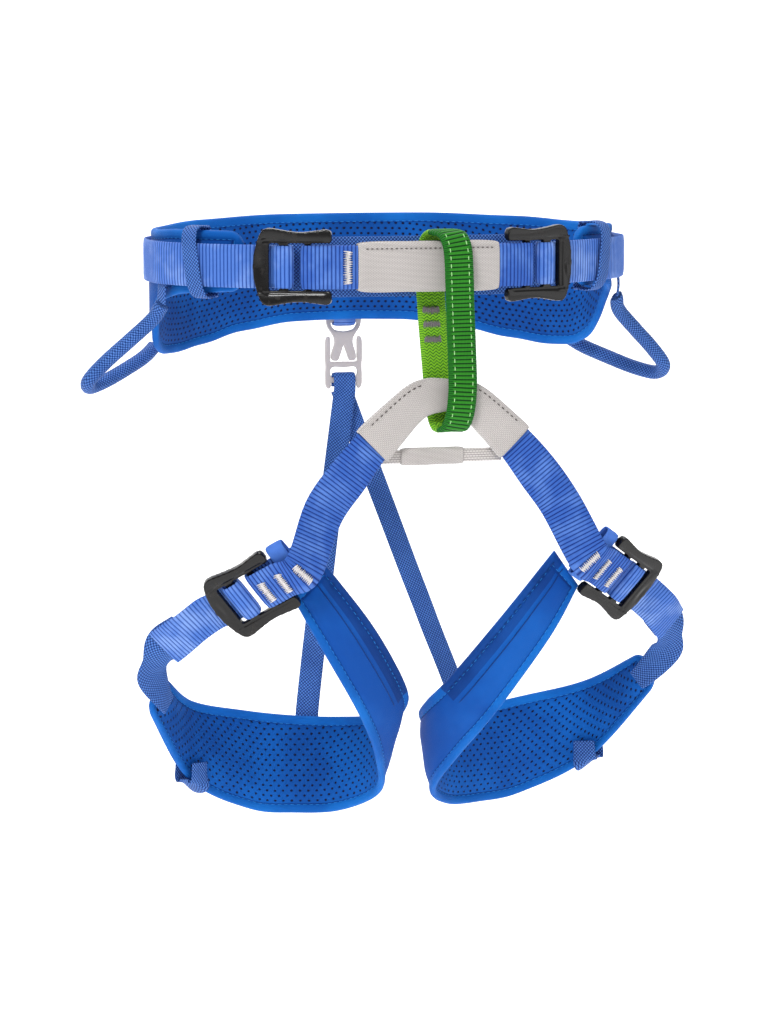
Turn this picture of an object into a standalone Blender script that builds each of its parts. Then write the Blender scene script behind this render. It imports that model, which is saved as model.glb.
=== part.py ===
"""Climbing harness for a child: waist belt, belay loop, leg loops, rear risers and their buckles.

Metres, +Z up, the wearer looks along -Y. The origin is the centre of the waist opening, a little
below the middle of the waist webbing. Lengths below are in millimetres and are scaled once, on the way
into Blender. Left and right are the sides of -X and +X.
"""
import math

import bmesh
import bpy
from mathutils import Matrix, Vector

MM = 0.001

# waist belt
WAIST_A, WAIST_B = 127.0, 82.0          # half axes of the belt pad's middle surface
PAD_END_DEG = 134.0                     # the pad's front tips, measured from the back centre
WEB_Z = 4.0                             # height of the middle of the waist webbing
WEB_WIDTH, WEB_THICK = 22.6, 1.5
SKIN, FOAM, SKIN_AT = 1.0, 5.2, 3.5     # skin and foam thickness, and how far the skins lie from mid
WEB_OFF_BACK, WEB_OFF_FRONT = 5.4, 7.9  # webbing's distance from the pad's middle surface
TAIL_OFF = 6.0
KEEPER_DEG = {"left": 120.0, "right": 127.0}
PAD_TOP = [(0, 24), (20, 24), (45, 22.5), (70, 20.5), (90, 20.5), (110, 22), (134, 22)]
PAD_BOTTOM = [(0, -37), (15, -37.5), (30, -41.5), (45, -47.5), (58, -50.5), (69, -50),
              (78, -45), (85, -34), (91, -23), (99, -16), (112, -12), (134, -10)]

# adjustable buckles, in their own frame: s along the strap, w along the bars, n outwards
BUCKLE_THICK, BUCKLE_ROUND = 3.0, 0.55
BAR_S = 12.5                            # the fixed bar, which is the buckle's tilt axis
WINDOW_HALF = 12.3
LOOP_R = 3.3                            # middle of the webbing's turn round the fixed bar
FREE_S = 34.8                           # where the free strap leaves the buckle

# leg loops, x measured outwards from the legs' own middle plane
LEG_X = 6.0
ARCH_Y = -98.0
LEG_TOP = [(64, -91, -149), (35, -85, -186), (13, -66, -220), (6, -44, -237), (12, -16, -249),
           (31, 8, -254), (54, 18, -254), (82, 20, -250), (115, 6, -240), (137, -26, -219)]
LEG_BOTTOM = [(79, -86, -169), (64, -86, -196), (38, -72, -239), (23, -49, -268),
              (16, -24, -292), (31, 0, -306), (54, 13, -309), (80, 17, -306), (117, 2, -284),
              (146, -30, -236)]

# rear buckle and risers
REAR_Y, REAR_THICK = 91.0, 3.0
RISER_WIDTH, RISER_THICK = 13.0, 1.3
RISER_AT, RISER_FOOT = 0.633, 0.35      # where the feet are sewn: along the pad, and up it
RISER_OFF = 5.6                         # how far the feet lie from the pad's middle surface

# belay loop
BELAY_WIDTH, BELAY_THICK = 16.0, 3.2
BELAY_PIVOT = (9.0, -89.2, WEB_Z)
LEG_PIVOT = (LEG_X, ARCH_Y, -72.0)

SIDES = (("left", -1), ("right", 1))

for old in list(bpy.data.objects):
    bpy.data.objects.remove(old)
HARNESS = bpy.data.collections.new("climbing_harness")
bpy.context.scene.collection.children.link(HARNESS)


# ---------------------------------------------------------------- helpers

def material(name, colour, roughness, metallic=0.0):
    made = bpy.data.materials.new(name)
    made.use_nodes = True
    shader = made.node_tree.nodes["Principled BSDF"]
    shader.inputs["Base Color"].default_value = (*colour, 1)
    shader.inputs["Roughness"].default_value = roughness
    shader.inputs["Metallic"].default_value = metallic
    return made


def between(table, at):
    """Reads a table of (position, value) knots with smooth steps between them."""
    at = min(max(at, table[0][0]), table[-1][0])
    for (a, low), (b, high) in zip(table, table[1:]):
        if at <= b:
            t = (at - a) / (b - a)
            return low + (high - low) * t * t * (3 - 2 * t)
    return table[-1][1]


def catmull(a, b, c, d, t):
    return 0.5 * (2 * b + (c - a) * t + (2 * a - 5 * b + 4 * c - d) * t * t
                  + (3 * b - a - 3 * c + d) * t ** 3)


def smooth(points, steps, closed=False):
    """A smooth curve through the points, with the given steps between two of them."""
    points = [Vector(p) for p in points]
    count = len(points)
    out = []
    for i in range(count if closed else count - 1):
        if closed:
            a, b, c, d = (points[(i + k) % count] for k in (-1, 0, 1, 2))
        else:
            b, c = points[i], points[i + 1]
            a = points[i - 1] if i else 2 * b - c
            d = points[i + 2] if i + 2 < count else 2 * c - b
        out += [catmull(a, b, c, d, k / steps) for k in range(steps)]
    return out if closed else out + [points[-1]]


def linked(name, data, mat):
    made = bpy.data.objects.new(name, data)
    data.materials.append(mat)
    HARNESS.objects.link(made)
    return made


def sheet(name, rows, thickness, mat, closed=False, tube=False):
    """A solid sheet through rows of points. closed joins the last row to the first, and tube
    joins the ends of every row."""
    mesh = bpy.data.meshes.new(name)
    bm = bmesh.new()
    grid = [[bm.verts.new(Vector(p) * MM) for p in row] for row in rows]
    across = len(rows[0])
    for i in range(len(rows) if closed else len(rows) - 1):
        here, there = grid[i], grid[(i + 1) % len(rows)]
        for j in range(across if tube else across - 1):
            k = (j + 1) % across
            bm.faces.new((here[j], here[k], there[k], there[j]))
    bm.to_mesh(mesh)
    bm.free()
    made = linked(name, mesh, mat)
    solid = made.modifiers.new("thickness", "SOLIDIFY")
    solid.thickness = thickness * MM
    solid.offset = 0
    solid.use_even_offset = True
    return made


def strap(name, centres, across, width, thickness, mat, closed=False):
    """A flat strap along centres. across is its width direction, one vector or one for each."""
    if isinstance(across, Vector):
        across = [across] * len(centres)
    rows = [(c - w.normalized() * width / 2, c + w.normalized() * width / 2)
            for c, w in zip(centres, across)]
    return sheet(name, rows, thickness, mat, closed)


def plate(name, outlines, thickness, mat, matrix, rounding):
    """A flat plate from closed outlines in its own XY plane. Outlines inside another are windows."""
    curve = bpy.data.curves.new(name, "CURVE")
    curve.dimensions = "2D"
    curve.fill_mode = "BOTH"
    curve.extrude = thickness / 2 * MM
    for outline in outlines:
        spline = curve.splines.new("POLY")
        spline.points.add(len(outline) - 1)
        for point, (x, y) in zip(spline.points, outline):
            point.co = (x * MM, y * MM, 0, 1)
        spline.use_cyclic_u = True
    flat = bpy.data.objects.new(name + "_outline", curve)
    HARNESS.objects.link(flat)
    flat.matrix_world = matrix
    bpy.context.view_layer.update()
    mesh = bpy.data.meshes.new_from_object(flat.evaluated_get(bpy.context.evaluated_depsgraph_get()))
    bpy.data.objects.remove(flat)
    bm = bmesh.new()
    bm.from_mesh(mesh)
    bmesh.ops.remove_doubles(bm, verts=bm.verts, dist=1e-6)
    bm.to_mesh(mesh)
    bm.free()
    mesh.materials.clear()
    made = linked(name, mesh, mat)
    made.matrix_world = matrix
    bevel = made.modifiers.new("rounding", "BEVEL")
    bevel.width = rounding * MM
    bevel.segments = 1
    bevel.limit_method = "ANGLE"
    bevel.angle_limit = math.radians(50)
    return made


def waist(deg, off=0.0, z=0.0):
    """A point on the belt: deg from the back centre towards +X, off outwards from mid-pad."""
    a = math.radians(deg)
    normal = Vector((math.sin(a) / WAIST_A, math.cos(a) / WAIST_B, 0)).normalized()
    return Vector((WAIST_A * math.sin(a), WAIST_B * math.cos(a), z)) + normal * off


def sided(side, centre_x=0.0):
    """Takes a right-hand point to its place on the side, +1 right or -1 left."""
    return lambda p: Vector((centre_x + side * p[0], p[1], p[2]))


class Frame:
    """A buckle's own frame, on the right: origin, and unit directions along s, w and n."""

    def __init__(self, origin, along, bars):
        self.origin = Vector(origin)
        self.s = Vector(along).normalized()
        self.n = self.s.cross(Vector(bars)).normalized()
        self.w = self.n.cross(self.s)

    def at(self, s, n=0.0, w=0.0):
        return self.origin + self.s * s + self.n * n + self.w * w

    def matrix(self, side, centre_x):
        """The placing of a plate drawn in s and w, on either side."""
        place = sided(side, centre_x)
        zero = place((0, 0, 0))
        s, n = place(self.s) - zero, place(self.n) - zero
        w = n.cross(s)
        turned = Matrix((s, w, n)).transposed().to_4x4()
        return Matrix.Translation(place(self.origin) * MM) @ turned


WAIST_BUCKLE = {"left": Frame((51.0, -85.4, WEB_Z), (0.93, 0.3675, 0), (0, 0, 1)),
                "right": Frame((43.5, -87.4, WEB_Z), (0.95, 0.312, 0), (0, 0, 1))}
LEG_BUCKLE = Frame((87.5, -98.0, -156.0), (0.743, 0.443, -0.501), (0.615, -0.157, 0.773))

BLUE = material("cover_blue", (0.01, 0.11, 0.55), 0.7)
MESH_BLUE = material("mesh_blue", (0.01, 0.12, 0.5), 0.8)
FOAM_GREY = material("foam_grey", (0.25, 0.27, 0.3), 0.9)
WEB_BLUE = material("webbing_blue", (0.08, 0.2, 0.72), 0.6)
TAPE_BLUE = material("tape_blue", (0.1, 0.25, 0.7), 0.65)
GREEN = material("belay_green", (0.08, 0.5, 0.02), 0.6)
GREY = material("sleeve_grey", (0.62, 0.6, 0.58), 0.75)
BLACK = material("buckle_black", (0.02, 0.02, 0.02), 0.3, 0.8)
PLASTIC = material("plastic_grey", (0.55, 0.53, 0.53), 0.45)


# ---------------------------------------------------------------- waist belt

def pad_rows(off):
    """Rows of the belt pad from tip to tip, with round corners at the tips."""
    tip_r, step = 8.0, 4.0
    count = int(2 * PAD_END_DEG / step)
    rows = []
    for i in range(count + 1):
        deg = -PAD_END_DEG + 2 * PAD_END_DEG * i / count
        to_tip = (PAD_END_DEG - abs(deg)) * 1.75     # about 1.75 mm of pad for each degree there
        short = max(0.0, tip_r - to_tip)
        inset = tip_r - math.sqrt(tip_r ** 2 - min(short, tip_r * 0.98) ** 2)
        top = between(PAD_TOP, abs(deg)) - inset
        bottom = between(PAD_BOTTOM, abs(deg)) + inset
        rows.append([waist(deg, off, bottom + (top - bottom) * k / 3) for k in range(4)])
    return rows


def waist_belt():
    sheet("waist_pad_cover", pad_rows(SKIN_AT), SKIN, BLUE)
    sheet("waist_pad_foam", pad_rows(0), FOAM, FOAM_GREY)
    sheet("waist_pad_lining", pad_rows(-SKIN_AT), SKIN, MESH_BLUE)

    def off(deg):
        return between([(0, WEB_OFF_BACK), (92, WEB_OFF_BACK), (105, WEB_OFF_FRONT), (134, WEB_OFF_FRONT)],
                       abs(deg))

    up = Vector((0, 0, 1))
    span = 132
    round_back = [waist(d, off(d), WEB_Z) for d in range(-span, span + 1, 4)]
    left, right = ([sided(side)(WAIST_BUCKLE[name].at(s, -2.75)) for s in (44, FREE_S)]
                   for name, side in SIDES)
    strap("waist_webbing", left[::-1] + round_back + right, up, WEB_WIDTH, WEB_THICK, WEB_BLUE)

    for name, side in SIDES:
        place = sided(side)
        tail = [WAIST_BUCKLE[name].at(s, n) for s, n in ((FREE_S, -4.9), (42, -4.4))]
        tail += [waist(d, TAIL_OFF, WEB_Z) for d in (130, 126, 122, 118, 114, 111)]
        strap(f"waist_tail_{name}", [place(p) for p in tail], up, WEB_WIDTH - 1, 1.1, WEB_BLUE)
        keeper(name, place)


def keeper(name, place):
    """A woven band round the pad and its webbing, drawn as a ring that leans a little."""
    inner, outer = -5.1, 10.2
    centre = KEEPER_DEG[name]
    top, bottom = between(PAD_TOP, centre) + 1.4, between(PAD_BOTTOM, centre) - 1.4
    half = 2.6                                    # degrees, half the band's width
    ring = [(inner, bottom + 3), (inner, top - 3), (inner + 2.5, top), (outer - 4, top),
            (outer, top - 6), (outer + 0.6, WEB_Z), (outer, bottom + 6), (outer - 4, bottom),
            (inner + 2.5, bottom)]
    rows = []
    for off, z in (tuple(v[:2]) for v in smooth([(a, b, 0) for a, b in ring], 3, closed=True)):
        middle = centre + 1.5 - 3.0 * (z - bottom) / (top - bottom)
        rows.append([place(waist(middle + d, off, z)) for d in (-half, half)])
    sheet(f"waist_keeper_{name}", rows, 1.0, TAPE_BLUE, closed=True)


def turn(frame, start_s, end_s, n):
    """The webbing's way round the fixed bar: along the front, round, and back behind it."""
    arc = [frame.at(BAR_S + n * math.sin(math.radians(a)), n * math.cos(math.radians(a)))
           for a in range(0, 181, 20)]
    return [frame.at(start_s, n)] + arc + [frame.at(end_s, -n)]


def tie_in():
    """The webbing between the waist buckles, its protective sleeve and the band behind it."""
    up = Vector((0, 0, 1))
    halves = {}
    for name, side, ahead, behind in (("left", -1, [(12, -91.6), (26, -90.9), (40, -89.6)],
                                       [(44, -84.6), (36, -86.1)]),
                                      ("right", 1, [(12, -91.6), (24, -91.2), (35, -90.5)],
                                       [(38, -85.9), (30, -86.6)])):
        path = [Vector((x, y, WEB_Z)) for x, y in ahead] + turn(WAIST_BUCKLE[name], 2, 3, LOOP_R)
        path += [Vector((x, y, WEB_Z)) for x, y in behind]
        halves[name] = [sided(side)(p) for p in path]
    path = halves["left"][::-1] + [Vector((0, -91.9, WEB_Z))] + halves["right"]
    strap("tie_in_webbing", path, up, WEB_WIDTH, WEB_THICK, WEB_BLUE)

    rows = []
    reach, bow = 38, 1.2
    for x in (-38, -32, -25, -18, -9, 0, 9, 18, 25, 32, 38):
        y = -89.2 + bow * (x / reach) ** 2
        depth, height, cut = 4.3, 13.2, 1.1
        outline = [(-depth, -height + cut), (-depth, height - cut), (-depth + cut, height),
                   (depth - cut, height), (depth, height - cut), (depth, -height + cut),
                   (depth - cut, -height), (-depth + cut, -height)]
        yaw = math.atan2(2 * bow * x / reach ** 2, 1)
        rows.append([Vector((x - a * math.sin(yaw), y + a * math.cos(yaw), WEB_Z + b))
                     for a, b in outline])
    sheet("tie_in_sleeve", rows, 0.9, GREY, tube=True)

    band = [(-84, -58.5), (-66, -64), (-44, -68), (-22, -69.8), (0, -70.3), (22, -69.8), (44, -68),
            (66, -64), (84, -58.5)]
    strap("tie_in_backing", [Vector((x, y, 3)) for x, y in band], up, 32, 1.2, TAPE_BLUE)


# ---------------------------------------------------------------- adjustable buckles

def frame_outlines():
    """The buckle frame's outline and its two windows. It is the same above and below its middle."""
    edge = [(0.6, 12.6), (0.0, 13.6), (0.2, 16.4), (1.4, 17.8), (3.6, 18.2), (9, 17.7), (15, 17.2),
            (20, 17.6), (25, 18.7), (30, 19.8), (33.5, 20.1), (36.3, 19.2), (38.6, 16.6),
            (41, 12), (43.2, 6.5), (44, 0)]
    bar = 1.5
    inner = [(BAR_S - bar, WINDOW_HALF), (BAR_S - bar, -WINDOW_HALF)]
    outline = edge + [(s, -w) for s, w in reversed(edge[:-1])] + inner[::-1]

    def window(low, high):
        return [(low, -WINDOW_HALF), (high, -WINDOW_HALF), (high, WINDOW_HALF), (low, WINDOW_HALF)]

    return [outline, window(BAR_S + bar, 23.0), window(27.5, 33.0)]


WRAP = [(34.2, -2.75), (32.3, -2.6), (31.0, -1.5), (30.2, 0.0), (29.4, 1.4), (28.2, 2.5),
        (26.5, 2.9), (24.0, 2.9), (22.0, 2.5), (21.0, 1.2), (20.7, 0.0), (20.8, -1.6),
        (21.6, -3.4), (23.2, -4.6), (26.0, -5.0), (33.2, -5.0)]


def buckle(region, name, side, frame, centre_x):
    """One frame and the stretch of strap that is threaded round its middle bar."""
    place = sided(side, centre_x)
    made = [plate(f"{region}_buckle_{name}", frame_outlines(), BUCKLE_THICK, BLACK,
                  frame.matrix(side, centre_x), BUCKLE_ROUND)]
    zero = place((0, 0, 0))
    across = place(frame.w) - zero
    made.append(strap(f"{region}_strap_wrap_{name}", [place(frame.at(s, n)) for s, n in WRAP],
                      across, WEB_WIDTH - 0.4, 1.4, WEB_BLUE))
    return made


# ---------------------------------------------------------------- gear loops

GEAR_PATH = [(128.2, -20, -18.8), (132, -13, -27), (143, -8, -38), (155.6, -3, -50), (164, 1.5, -60),
             (162.6, 10.5, -65), (152, 18.5, -62.5), (138, 27, -56.5), (127.5, 35, -51.5),
             (120, 44, -46.5)]


def gear_loop(name, side):
    place = sided(side)
    path = smooth([place(p) for p in GEAR_PATH], 4)
    made = []
    curve = bpy.data.curves.new(f"gear_loop_{name}", "CURVE")
    curve.dimensions = "3D"
    curve.bevel_depth = 4.0 * MM
    curve.bevel_resolution = 3
    curve.use_fill_caps = True
    spline = curve.splines.new("POLY")
    spline.points.add(len(path) - 1)
    for point, p in zip(spline.points, path):
        point.co = (*(p * MM), 1)
    made.append(linked(f"gear_loop_{name}", curve, TAPE_BLUE))
    return made


# ---------------------------------------------------------------- belay loop

BELAY = [(4.5, -77.2, -5), (4.5, -77.2, 6), (5.2, -78.4, 15), (7, -82.6, 20.4), (9, -88.5, 21.6),
         (11.5, -95.2, 20.2), (13.2, -98.6, 14), (13.8, -99.6, 4), (14.2, -100.4, -15),
         (14.5, -102.4, -35), (14.5, -104.8, -52), (14, -106, -62), (13, -105, -72.5),
         (11.4, -101.8, -79.2), (9.5, -98, -80.8), (7.6, -94.2, -79.2), (6.4, -91, -72.5),
         (5.6, -89.8, -62), (5, -88, -50), (4.5, -81.4, -25)]


def belay_loop():
    centres = smooth(BELAY, 2, closed=True)
    across = Vector((0.99, 0.08, 0))
    return [strap("belay_loop", centres, across, BELAY_WIDTH, BELAY_THICK, GREEN, closed=True)]


# ---------------------------------------------------------------- leg loops

ARCH = [(0, -63, 0, 1), (8, -63.5, 0.12, 0.993), (16, -67, 0.4, 0.917), (27, -77, 0.62, 0.785),
        (39, -89, 0.7, 0.714), (52, -105, 0.78, 0.626), (65, -123, 0.8, 0.6)]


def bridge_half():
    """Right half of the leg bridge webbing: centres, width directions and widths."""
    centres = [Vector((x, ARCH_Y, z)) for x, z, _, _ in ARCH]
    across = [Vector((a, 0, b)) for _, _, a, b in ARCH]
    front = LEG_BUCKLE.at(-14, LOOP_R)
    centres.append(front)
    across.append(Vector((0.74, -0.07, 0.67)))
    round_bar = turn(LEG_BUCKLE, 0, 3, LOOP_R)
    centres += round_bar
    across += [LEG_BUCKLE.w] * len(round_bar)
    centres.append(LEG_BUCKLE.at(-5, -LOOP_R + 0.4))
    across.append(LEG_BUCKLE.w)
    centres.append(LEG_BUCKLE.at(-15, -LOOP_R + 0.8))
    across.append(Vector((0.74, -0.07, 0.67)))
    widths = [16.4, 16.4, 16.6, 18.0, 20.0] + [WEB_WIDTH] * (len(centres) - 5)
    return centres, across, widths


def leg_bridge():
    centres, across, widths = bridge_half()
    rows = {}
    for side in (-1, 1):
        place = sided(side, LEG_X)
        zero = place((0, 0, 0))
        rows[side] = []
        for c, a, w in zip(centres, across, widths):
            d = a.normalized() * w / 2
            low, high = place(c) - (place(d) - zero), place(c) + (place(d) - zero)
            rows[side].append((low, high))
    whole = list(reversed(rows[-1][1:])) + rows[1]
    made = [sheet("leg_bridge_webbing", whole, WEB_THICK, WEB_BLUE)]

    sleeve = []
    steps = smooth([Vector((x, z, a)) for x, z, a, _ in ARCH[:5]], 2)
    half_path = [(p.x, p.y, p.z) for p in steps]
    path = [(-x, z, -a) for x, z, a in reversed(half_path[1:])] + half_path
    for x, z, a in path:
        up = Vector((a, 0, math.sqrt(1 - a * a)))
        wide = 9.7 + 2.0 * (x / 39) ** 2
        deep = 2.6
        outline = [(-deep, -wide + 2.4), (-deep, wide - 2.4), (-deep + 1.9, wide), (deep - 1.9, wide),
                   (deep, wide - 2.4), (deep, -wide + 2.4), (deep - 1.9, -wide), (-deep + 1.9, -wide)]
        middle = Vector((LEG_X + x, ARCH_Y, z))
        sleeve.append([middle + Vector((0, d, 0)) + up * w for d, w in outline])
    made.append(sheet("leg_bridge_sleeve", sleeve, 0.8, GREY, tube=True))

    across_y, across_z = -93.4, -95.5
    ends = [Vector((LEG_X + x, across_y, across_z)) for x in (-33, -16, 0, 16, 33)]
    made.append(strap("leg_crosspiece", ends, Vector((0, 0, 1)), 7.2, 1.0, GREY))
    tube = []
    for x in (-22, -10, 2, 12):
        tube.append([Vector((LEG_X + x, across_y + d, across_z + w)) for d, w in
                     ((-1.5, -3.6), (-1.5, 3.6), (-0.8, 4.5), (0.8, 4.5), (1.5, 3.6), (1.5, -3.6),
                      (0.8, -4.5), (-0.8, -4.5))])
    made.append(sheet("leg_crosspiece_sheath", tube, 0.6, GREY, tube=True))
    return made


def leg_rows(off, steps=3):
    """Rows of a leg pad on the right, moved outwards by off, from its front end to its outer end."""
    top = smooth(LEG_TOP, steps)
    bottom = smooth(LEG_BOTTOM, steps)
    count = len(top)
    rows = []
    for i in range(count):
        ahead, behind = min(i + 1, count - 1), max(i - 1, 0)
        up = top[i] - bottom[i]
        row = []
        for k in range(4):
            point = bottom[i].lerp(top[i], k / 3)
            along = bottom[ahead].lerp(top[ahead], k / 3) - bottom[behind].lerp(top[behind], k / 3)
            row.append(point + up.cross(along).normalized() * off)
        rows.append(row)
    return rows


def at_leg(part, share, off):
    """A point on a leg pad: part from 0 to 1 along it, share from 0 bottom to 1 top."""
    rows = leg_rows(off, 6)
    place = part * (len(rows) - 1)
    i = min(int(place), len(rows) - 2)
    pick = [rows[j][0].lerp(rows[j][3], share) for j in (i, i + 1)]
    return pick[0].lerp(pick[1], place - i)


def leg_loop(name, side):
    place = sided(side, LEG_X)
    zero = place((0, 0, 0))
    made = []
    for layer, off, thick, mat in (("cover", SKIN_AT, SKIN, BLUE), ("foam", 0, FOAM, FOAM_GREY),
                                   ("lining", -SKIN_AT, SKIN, MESH_BLUE)):
        rows = [[place(p) for p in row] for row in leg_rows(off)]
        made.append(sheet(f"leg_pad_{layer}_{name}", rows, thick, mat))

    strap_path = [LEG_BUCKLE.at(FREE_S, -2.75), LEG_BUCKLE.at(41, -2.75), LEG_BUCKLE.at(48, -3.2),
                  Vector((133, -68.5, -188)), Vector((142.5, -58.5, -198))]
    strap_across = [LEG_BUCKLE.w] * 3 + [Vector((0.42, -0.28, 0.86)), Vector((0.2, -0.3, 0.93))]
    made.append(strap(f"leg_strap_{name}", [place(p) for p in strap_path],
                      [place(a) - zero for a in strap_across], WEB_WIDTH - 0.6, WEB_THICK, WEB_BLUE))
    tail = [LEG_BUCKLE.at(s, -5.0) for s in (FREE_S, 40, 46)]
    made.append(strap(f"leg_tail_{name}", [place(p) for p in tail], place(LEG_BUCKLE.w) - zero,
                      WEB_WIDTH - 3, 1.1, WEB_BLUE))

    inside = -SKIN_AT - 2.3
    end_top, end_low = at_leg(0.93, 1.0, inside), at_leg(0.93, 0.0, inside)
    tip_top, tip_low = at_leg(1.0, 1.0, inside), at_leg(1.0, 0.0, inside)
    loop_rows = [(end_top.lerp(end_low, 0.1), end_top.lerp(end_low, 0.88)),
                 (tip_top.lerp(tip_low, 0.02), tip_top.lerp(tip_low, 0.95)),
                 (Vector((137.5, -41, -212.5)), Vector((154, -43.5, -219))),
                 (Vector((139.5, -47, -210.5)), Vector((151, -52, -203))),
                 (Vector((139.2, -53.2, -207.3)), Vector((143.6, -59.9, -186.8))),
                 (Vector((127.2, -63.5, -196.6)), Vector((136.6, -69.6, -177.4)))]
    low = smooth([r[0] for r in loop_rows], 3)
    high = smooth([r[1] for r in loop_rows], 3)
    made.append(sheet(f"leg_end_loop_{name}", [(place(a), place(b)) for a, b in zip(low, high)], 1.2,
                      TAPE_BLUE))

    made.append(hem_tab(name, place))
    made.append(leg_keeper(name, place))
    return made


def hem_tab(name, place):
    """A short woven tab folded round the lower hem of a leg pad."""
    at, half = 0.885, 0.015
    outside, inside = SKIN_AT + 2.3, -SKIN_AT - 2.3
    rows = []
    for off, share in ((outside, 0.26), (outside, 0.14), (outside, 0.02), (outside * 0.8, -0.045),
                       (0, -0.065), (inside * 0.8, -0.045), (inside, 0.02), (inside, 0.14),
                       (inside, 0.24)):
        rows.append([place(at_leg(at + d, share, off)) for d in (-half, half)])
    return sheet(f"leg_hem_tab_{name}", rows, 0.9, TAPE_BLUE)


def leg_keeper(name, place):
    """A flat band round the folded end of the bridge webbing, proud of the webbing's upper edge."""
    half = WEB_WIDTH / 2
    ring = [(-0.7, -half - 1.2), (0.3, 0), (-0.2, half + 1), (-0.7, half + 5), (-2.6, half + 6.2),
            (-4.6, half + 4), (-5.0, 0), (-4.4, -half - 1.2), (-2.4, -half - 2.4)]
    rows = []
    for n, w in (tuple(v[:2]) for v in smooth([(a, b, 0) for a, b in ring], 3, closed=True)):
        rows.append([place(LEG_BUCKLE.at(s, n, w)) for s in (-11.5, -1.5)])
    return sheet(f"leg_keeper_{name}", rows, 0.9, WEB_BLUE, closed=True)


# ---------------------------------------------------------------- rear buckle and risers

REAR_PLANE = Matrix.Translation((0, REAR_Y * MM, 0)) @ Matrix.Rotation(math.radians(90), 4, "X")


def mirrored(half):
    return half + [(-x, z) for x, z in reversed(half)]


def rear_upper():
    """The hook half that hangs from the belt, and its tape."""
    outline = mirrored([(0.01, -35.2), (7, -35.2), (9.6, -36), (10.4, -38.5), (9.4, -42.5), (6.6, -46.6),
                        (5.4, -49.5), (5.6, -52.5), (7.0, -57), (7.3, -60.2), (6.2, -61.6),
                        (3.6, -61.6), (2.3, -59), (0.01, -52)])
    slot = mirrored([(0.01, -39.4), (7.2, -39.4), (7.4, -41.2), (5.2, -43.8), (0.01, -44.8)])
    plate("rear_buckle_hook", [outline, slot], REAR_THICK, PLASTIC, REAR_PLANE, 0.4)
    bar_z, radius = -37.3, 3.7
    path = [Vector((0, REAR_Y - radius, z)) for z in (-14, -24, -32)]
    path += [Vector((0, REAR_Y - radius * math.cos(math.radians(a)),
                     bar_z - radius * math.sin(math.radians(a)))) for a in range(0, 181, 20)]
    path += [Vector((0, 94.5, -30)), Vector((0, 92.6, -20)), Vector((0, 90.6, -12)),
             Vector((0, 90.1, 0)), Vector((0, 90.1, 11))]
    strap("rear_hanger_tape", path, Vector((1, 0, 0)), 12.8, 1.2, WEB_BLUE)


def rear_lower():
    """The catch half with its two side prongs, and the riser webbing threaded through it."""
    outline = mirrored([(0.01, -62.3), (7.6, -62.3), (8.0, -60), (8.0, -49.5), (8.8, -47.6), (10.2, -48.2),
                        (10.9, -51), (11.0, -60), (10.7, -64), (10.9, -74), (10.2, -77),
                        (8.6, -78), (7.6, -76), (7.4, -74.4), (0.01, -74.4)])
    slot = mirrored([(0.01, -65.6), (7.3, -65.6), (7.3, -71.2), (0.01, -71.2)])
    return plate("rear_buckle_catch", [outline, slot], REAR_THICK, PLASTIC, REAR_PLANE, 0.4)


def riser(name, side, front_y, over_bar):
    """An elastic strap from the catch down to the back of one leg pad."""
    place = sided(side, LEG_X)
    lower = [place(at_leg(RISER_AT, share, RISER_OFF + more))
             for share, more in ((1.08, 1.6), (0.92, 0.9), (0.6, 0), (RISER_FOOT, 0))]
    across = Vector((1, 0, 0))
    flat = place(at_leg(RISER_AT + 0.02, 0.5, 0)) - place(at_leg(RISER_AT - 0.02, 0.5, 0))
    flat *= side
    start = Vector((0, front_y, -79))
    path = smooth([start, start.lerp(lower[0], 0.33) + Vector((0, 1.5, 0)),
                   start.lerp(lower[0], 0.7) + Vector((0, 1.5, 0)), *lower], 3)
    widths = [across.lerp(flat.normalized(), min(1, 1.5 * i / len(path))) for i in range(len(path))]
    if over_bar:
        radius, bar_z = 3.1, -72.2
        arc = [Vector((0, REAR_Y + radius * math.cos(math.radians(a)),
                       bar_z + radius * math.sin(math.radians(a)))) for a in range(0, 181, 30)]
        path = [Vector((0, REAR_Y + radius, -77))] + arc + path
        widths = [across] * (len(arc) + 1) + widths
    return strap(f"riser_{name}", path, widths, RISER_WIDTH, RISER_THICK, TAPE_BLUE)


# ---------------------------------------------------------------- assembly

def carried(name, at, pieces):
    """An empty on a joint's axis that the pieces of one moving body hang from."""
    empty = bpy.data.objects.new(f"{name}_axis", None)
    empty.empty_display_size = 0.01
    empty.location = Vector(at) * MM
    HARNESS.objects.link(empty)
    bpy.context.view_layer.update()
    for piece in pieces:
        piece.parent = empty
        piece.matrix_parent_inverse = empty.matrix_world.inverted()
    return empty


waist_belt()
tie_in()
rear_upper()
carried("belay_loop", BELAY_PIVOT, belay_loop())
leg_pieces = leg_bridge()
for label, hand in SIDES:
    leg_pieces += leg_loop(label, hand)
    carried(f"waist_buckle_{label}", sided(hand)(WAIST_BUCKLE[label].at(BAR_S)),
            buckle("waist", label, hand, WAIST_BUCKLE[label], 0))
    carried(f"leg_buckle_{label}", sided(hand, LEG_X)(LEG_BUCKLE.at(BAR_S)),
            buckle("leg", label, hand, LEG_BUCKLE, LEG_X))
    carried(f"gear_loop_{label}", sided(hand)(GEAR_PATH[0]), gear_loop(label, hand))
carried("leg_loops", LEG_PIVOT, leg_pieces)
foot = at_leg(RISER_AT, RISER_FOOT, RISER_OFF)
carried("risers", (LEG_X, foot.y, foot.z), [rear_lower(), riser("left", -1, 87.9, True),
                                            riser("right", 1, 96.2, False)])
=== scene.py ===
"""Looks of the child's climbing harness: woven webbing, padded belt and leg loops, buckles and stitching.

Lengths are in millimetres in the CAD's own frame and are scaled once, when a mesh is made. Left and right
are the sides of -X and +X.
"""
import math

import bmesh
import bpy
import numpy as np
from mathutils import Matrix, Vector


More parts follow.
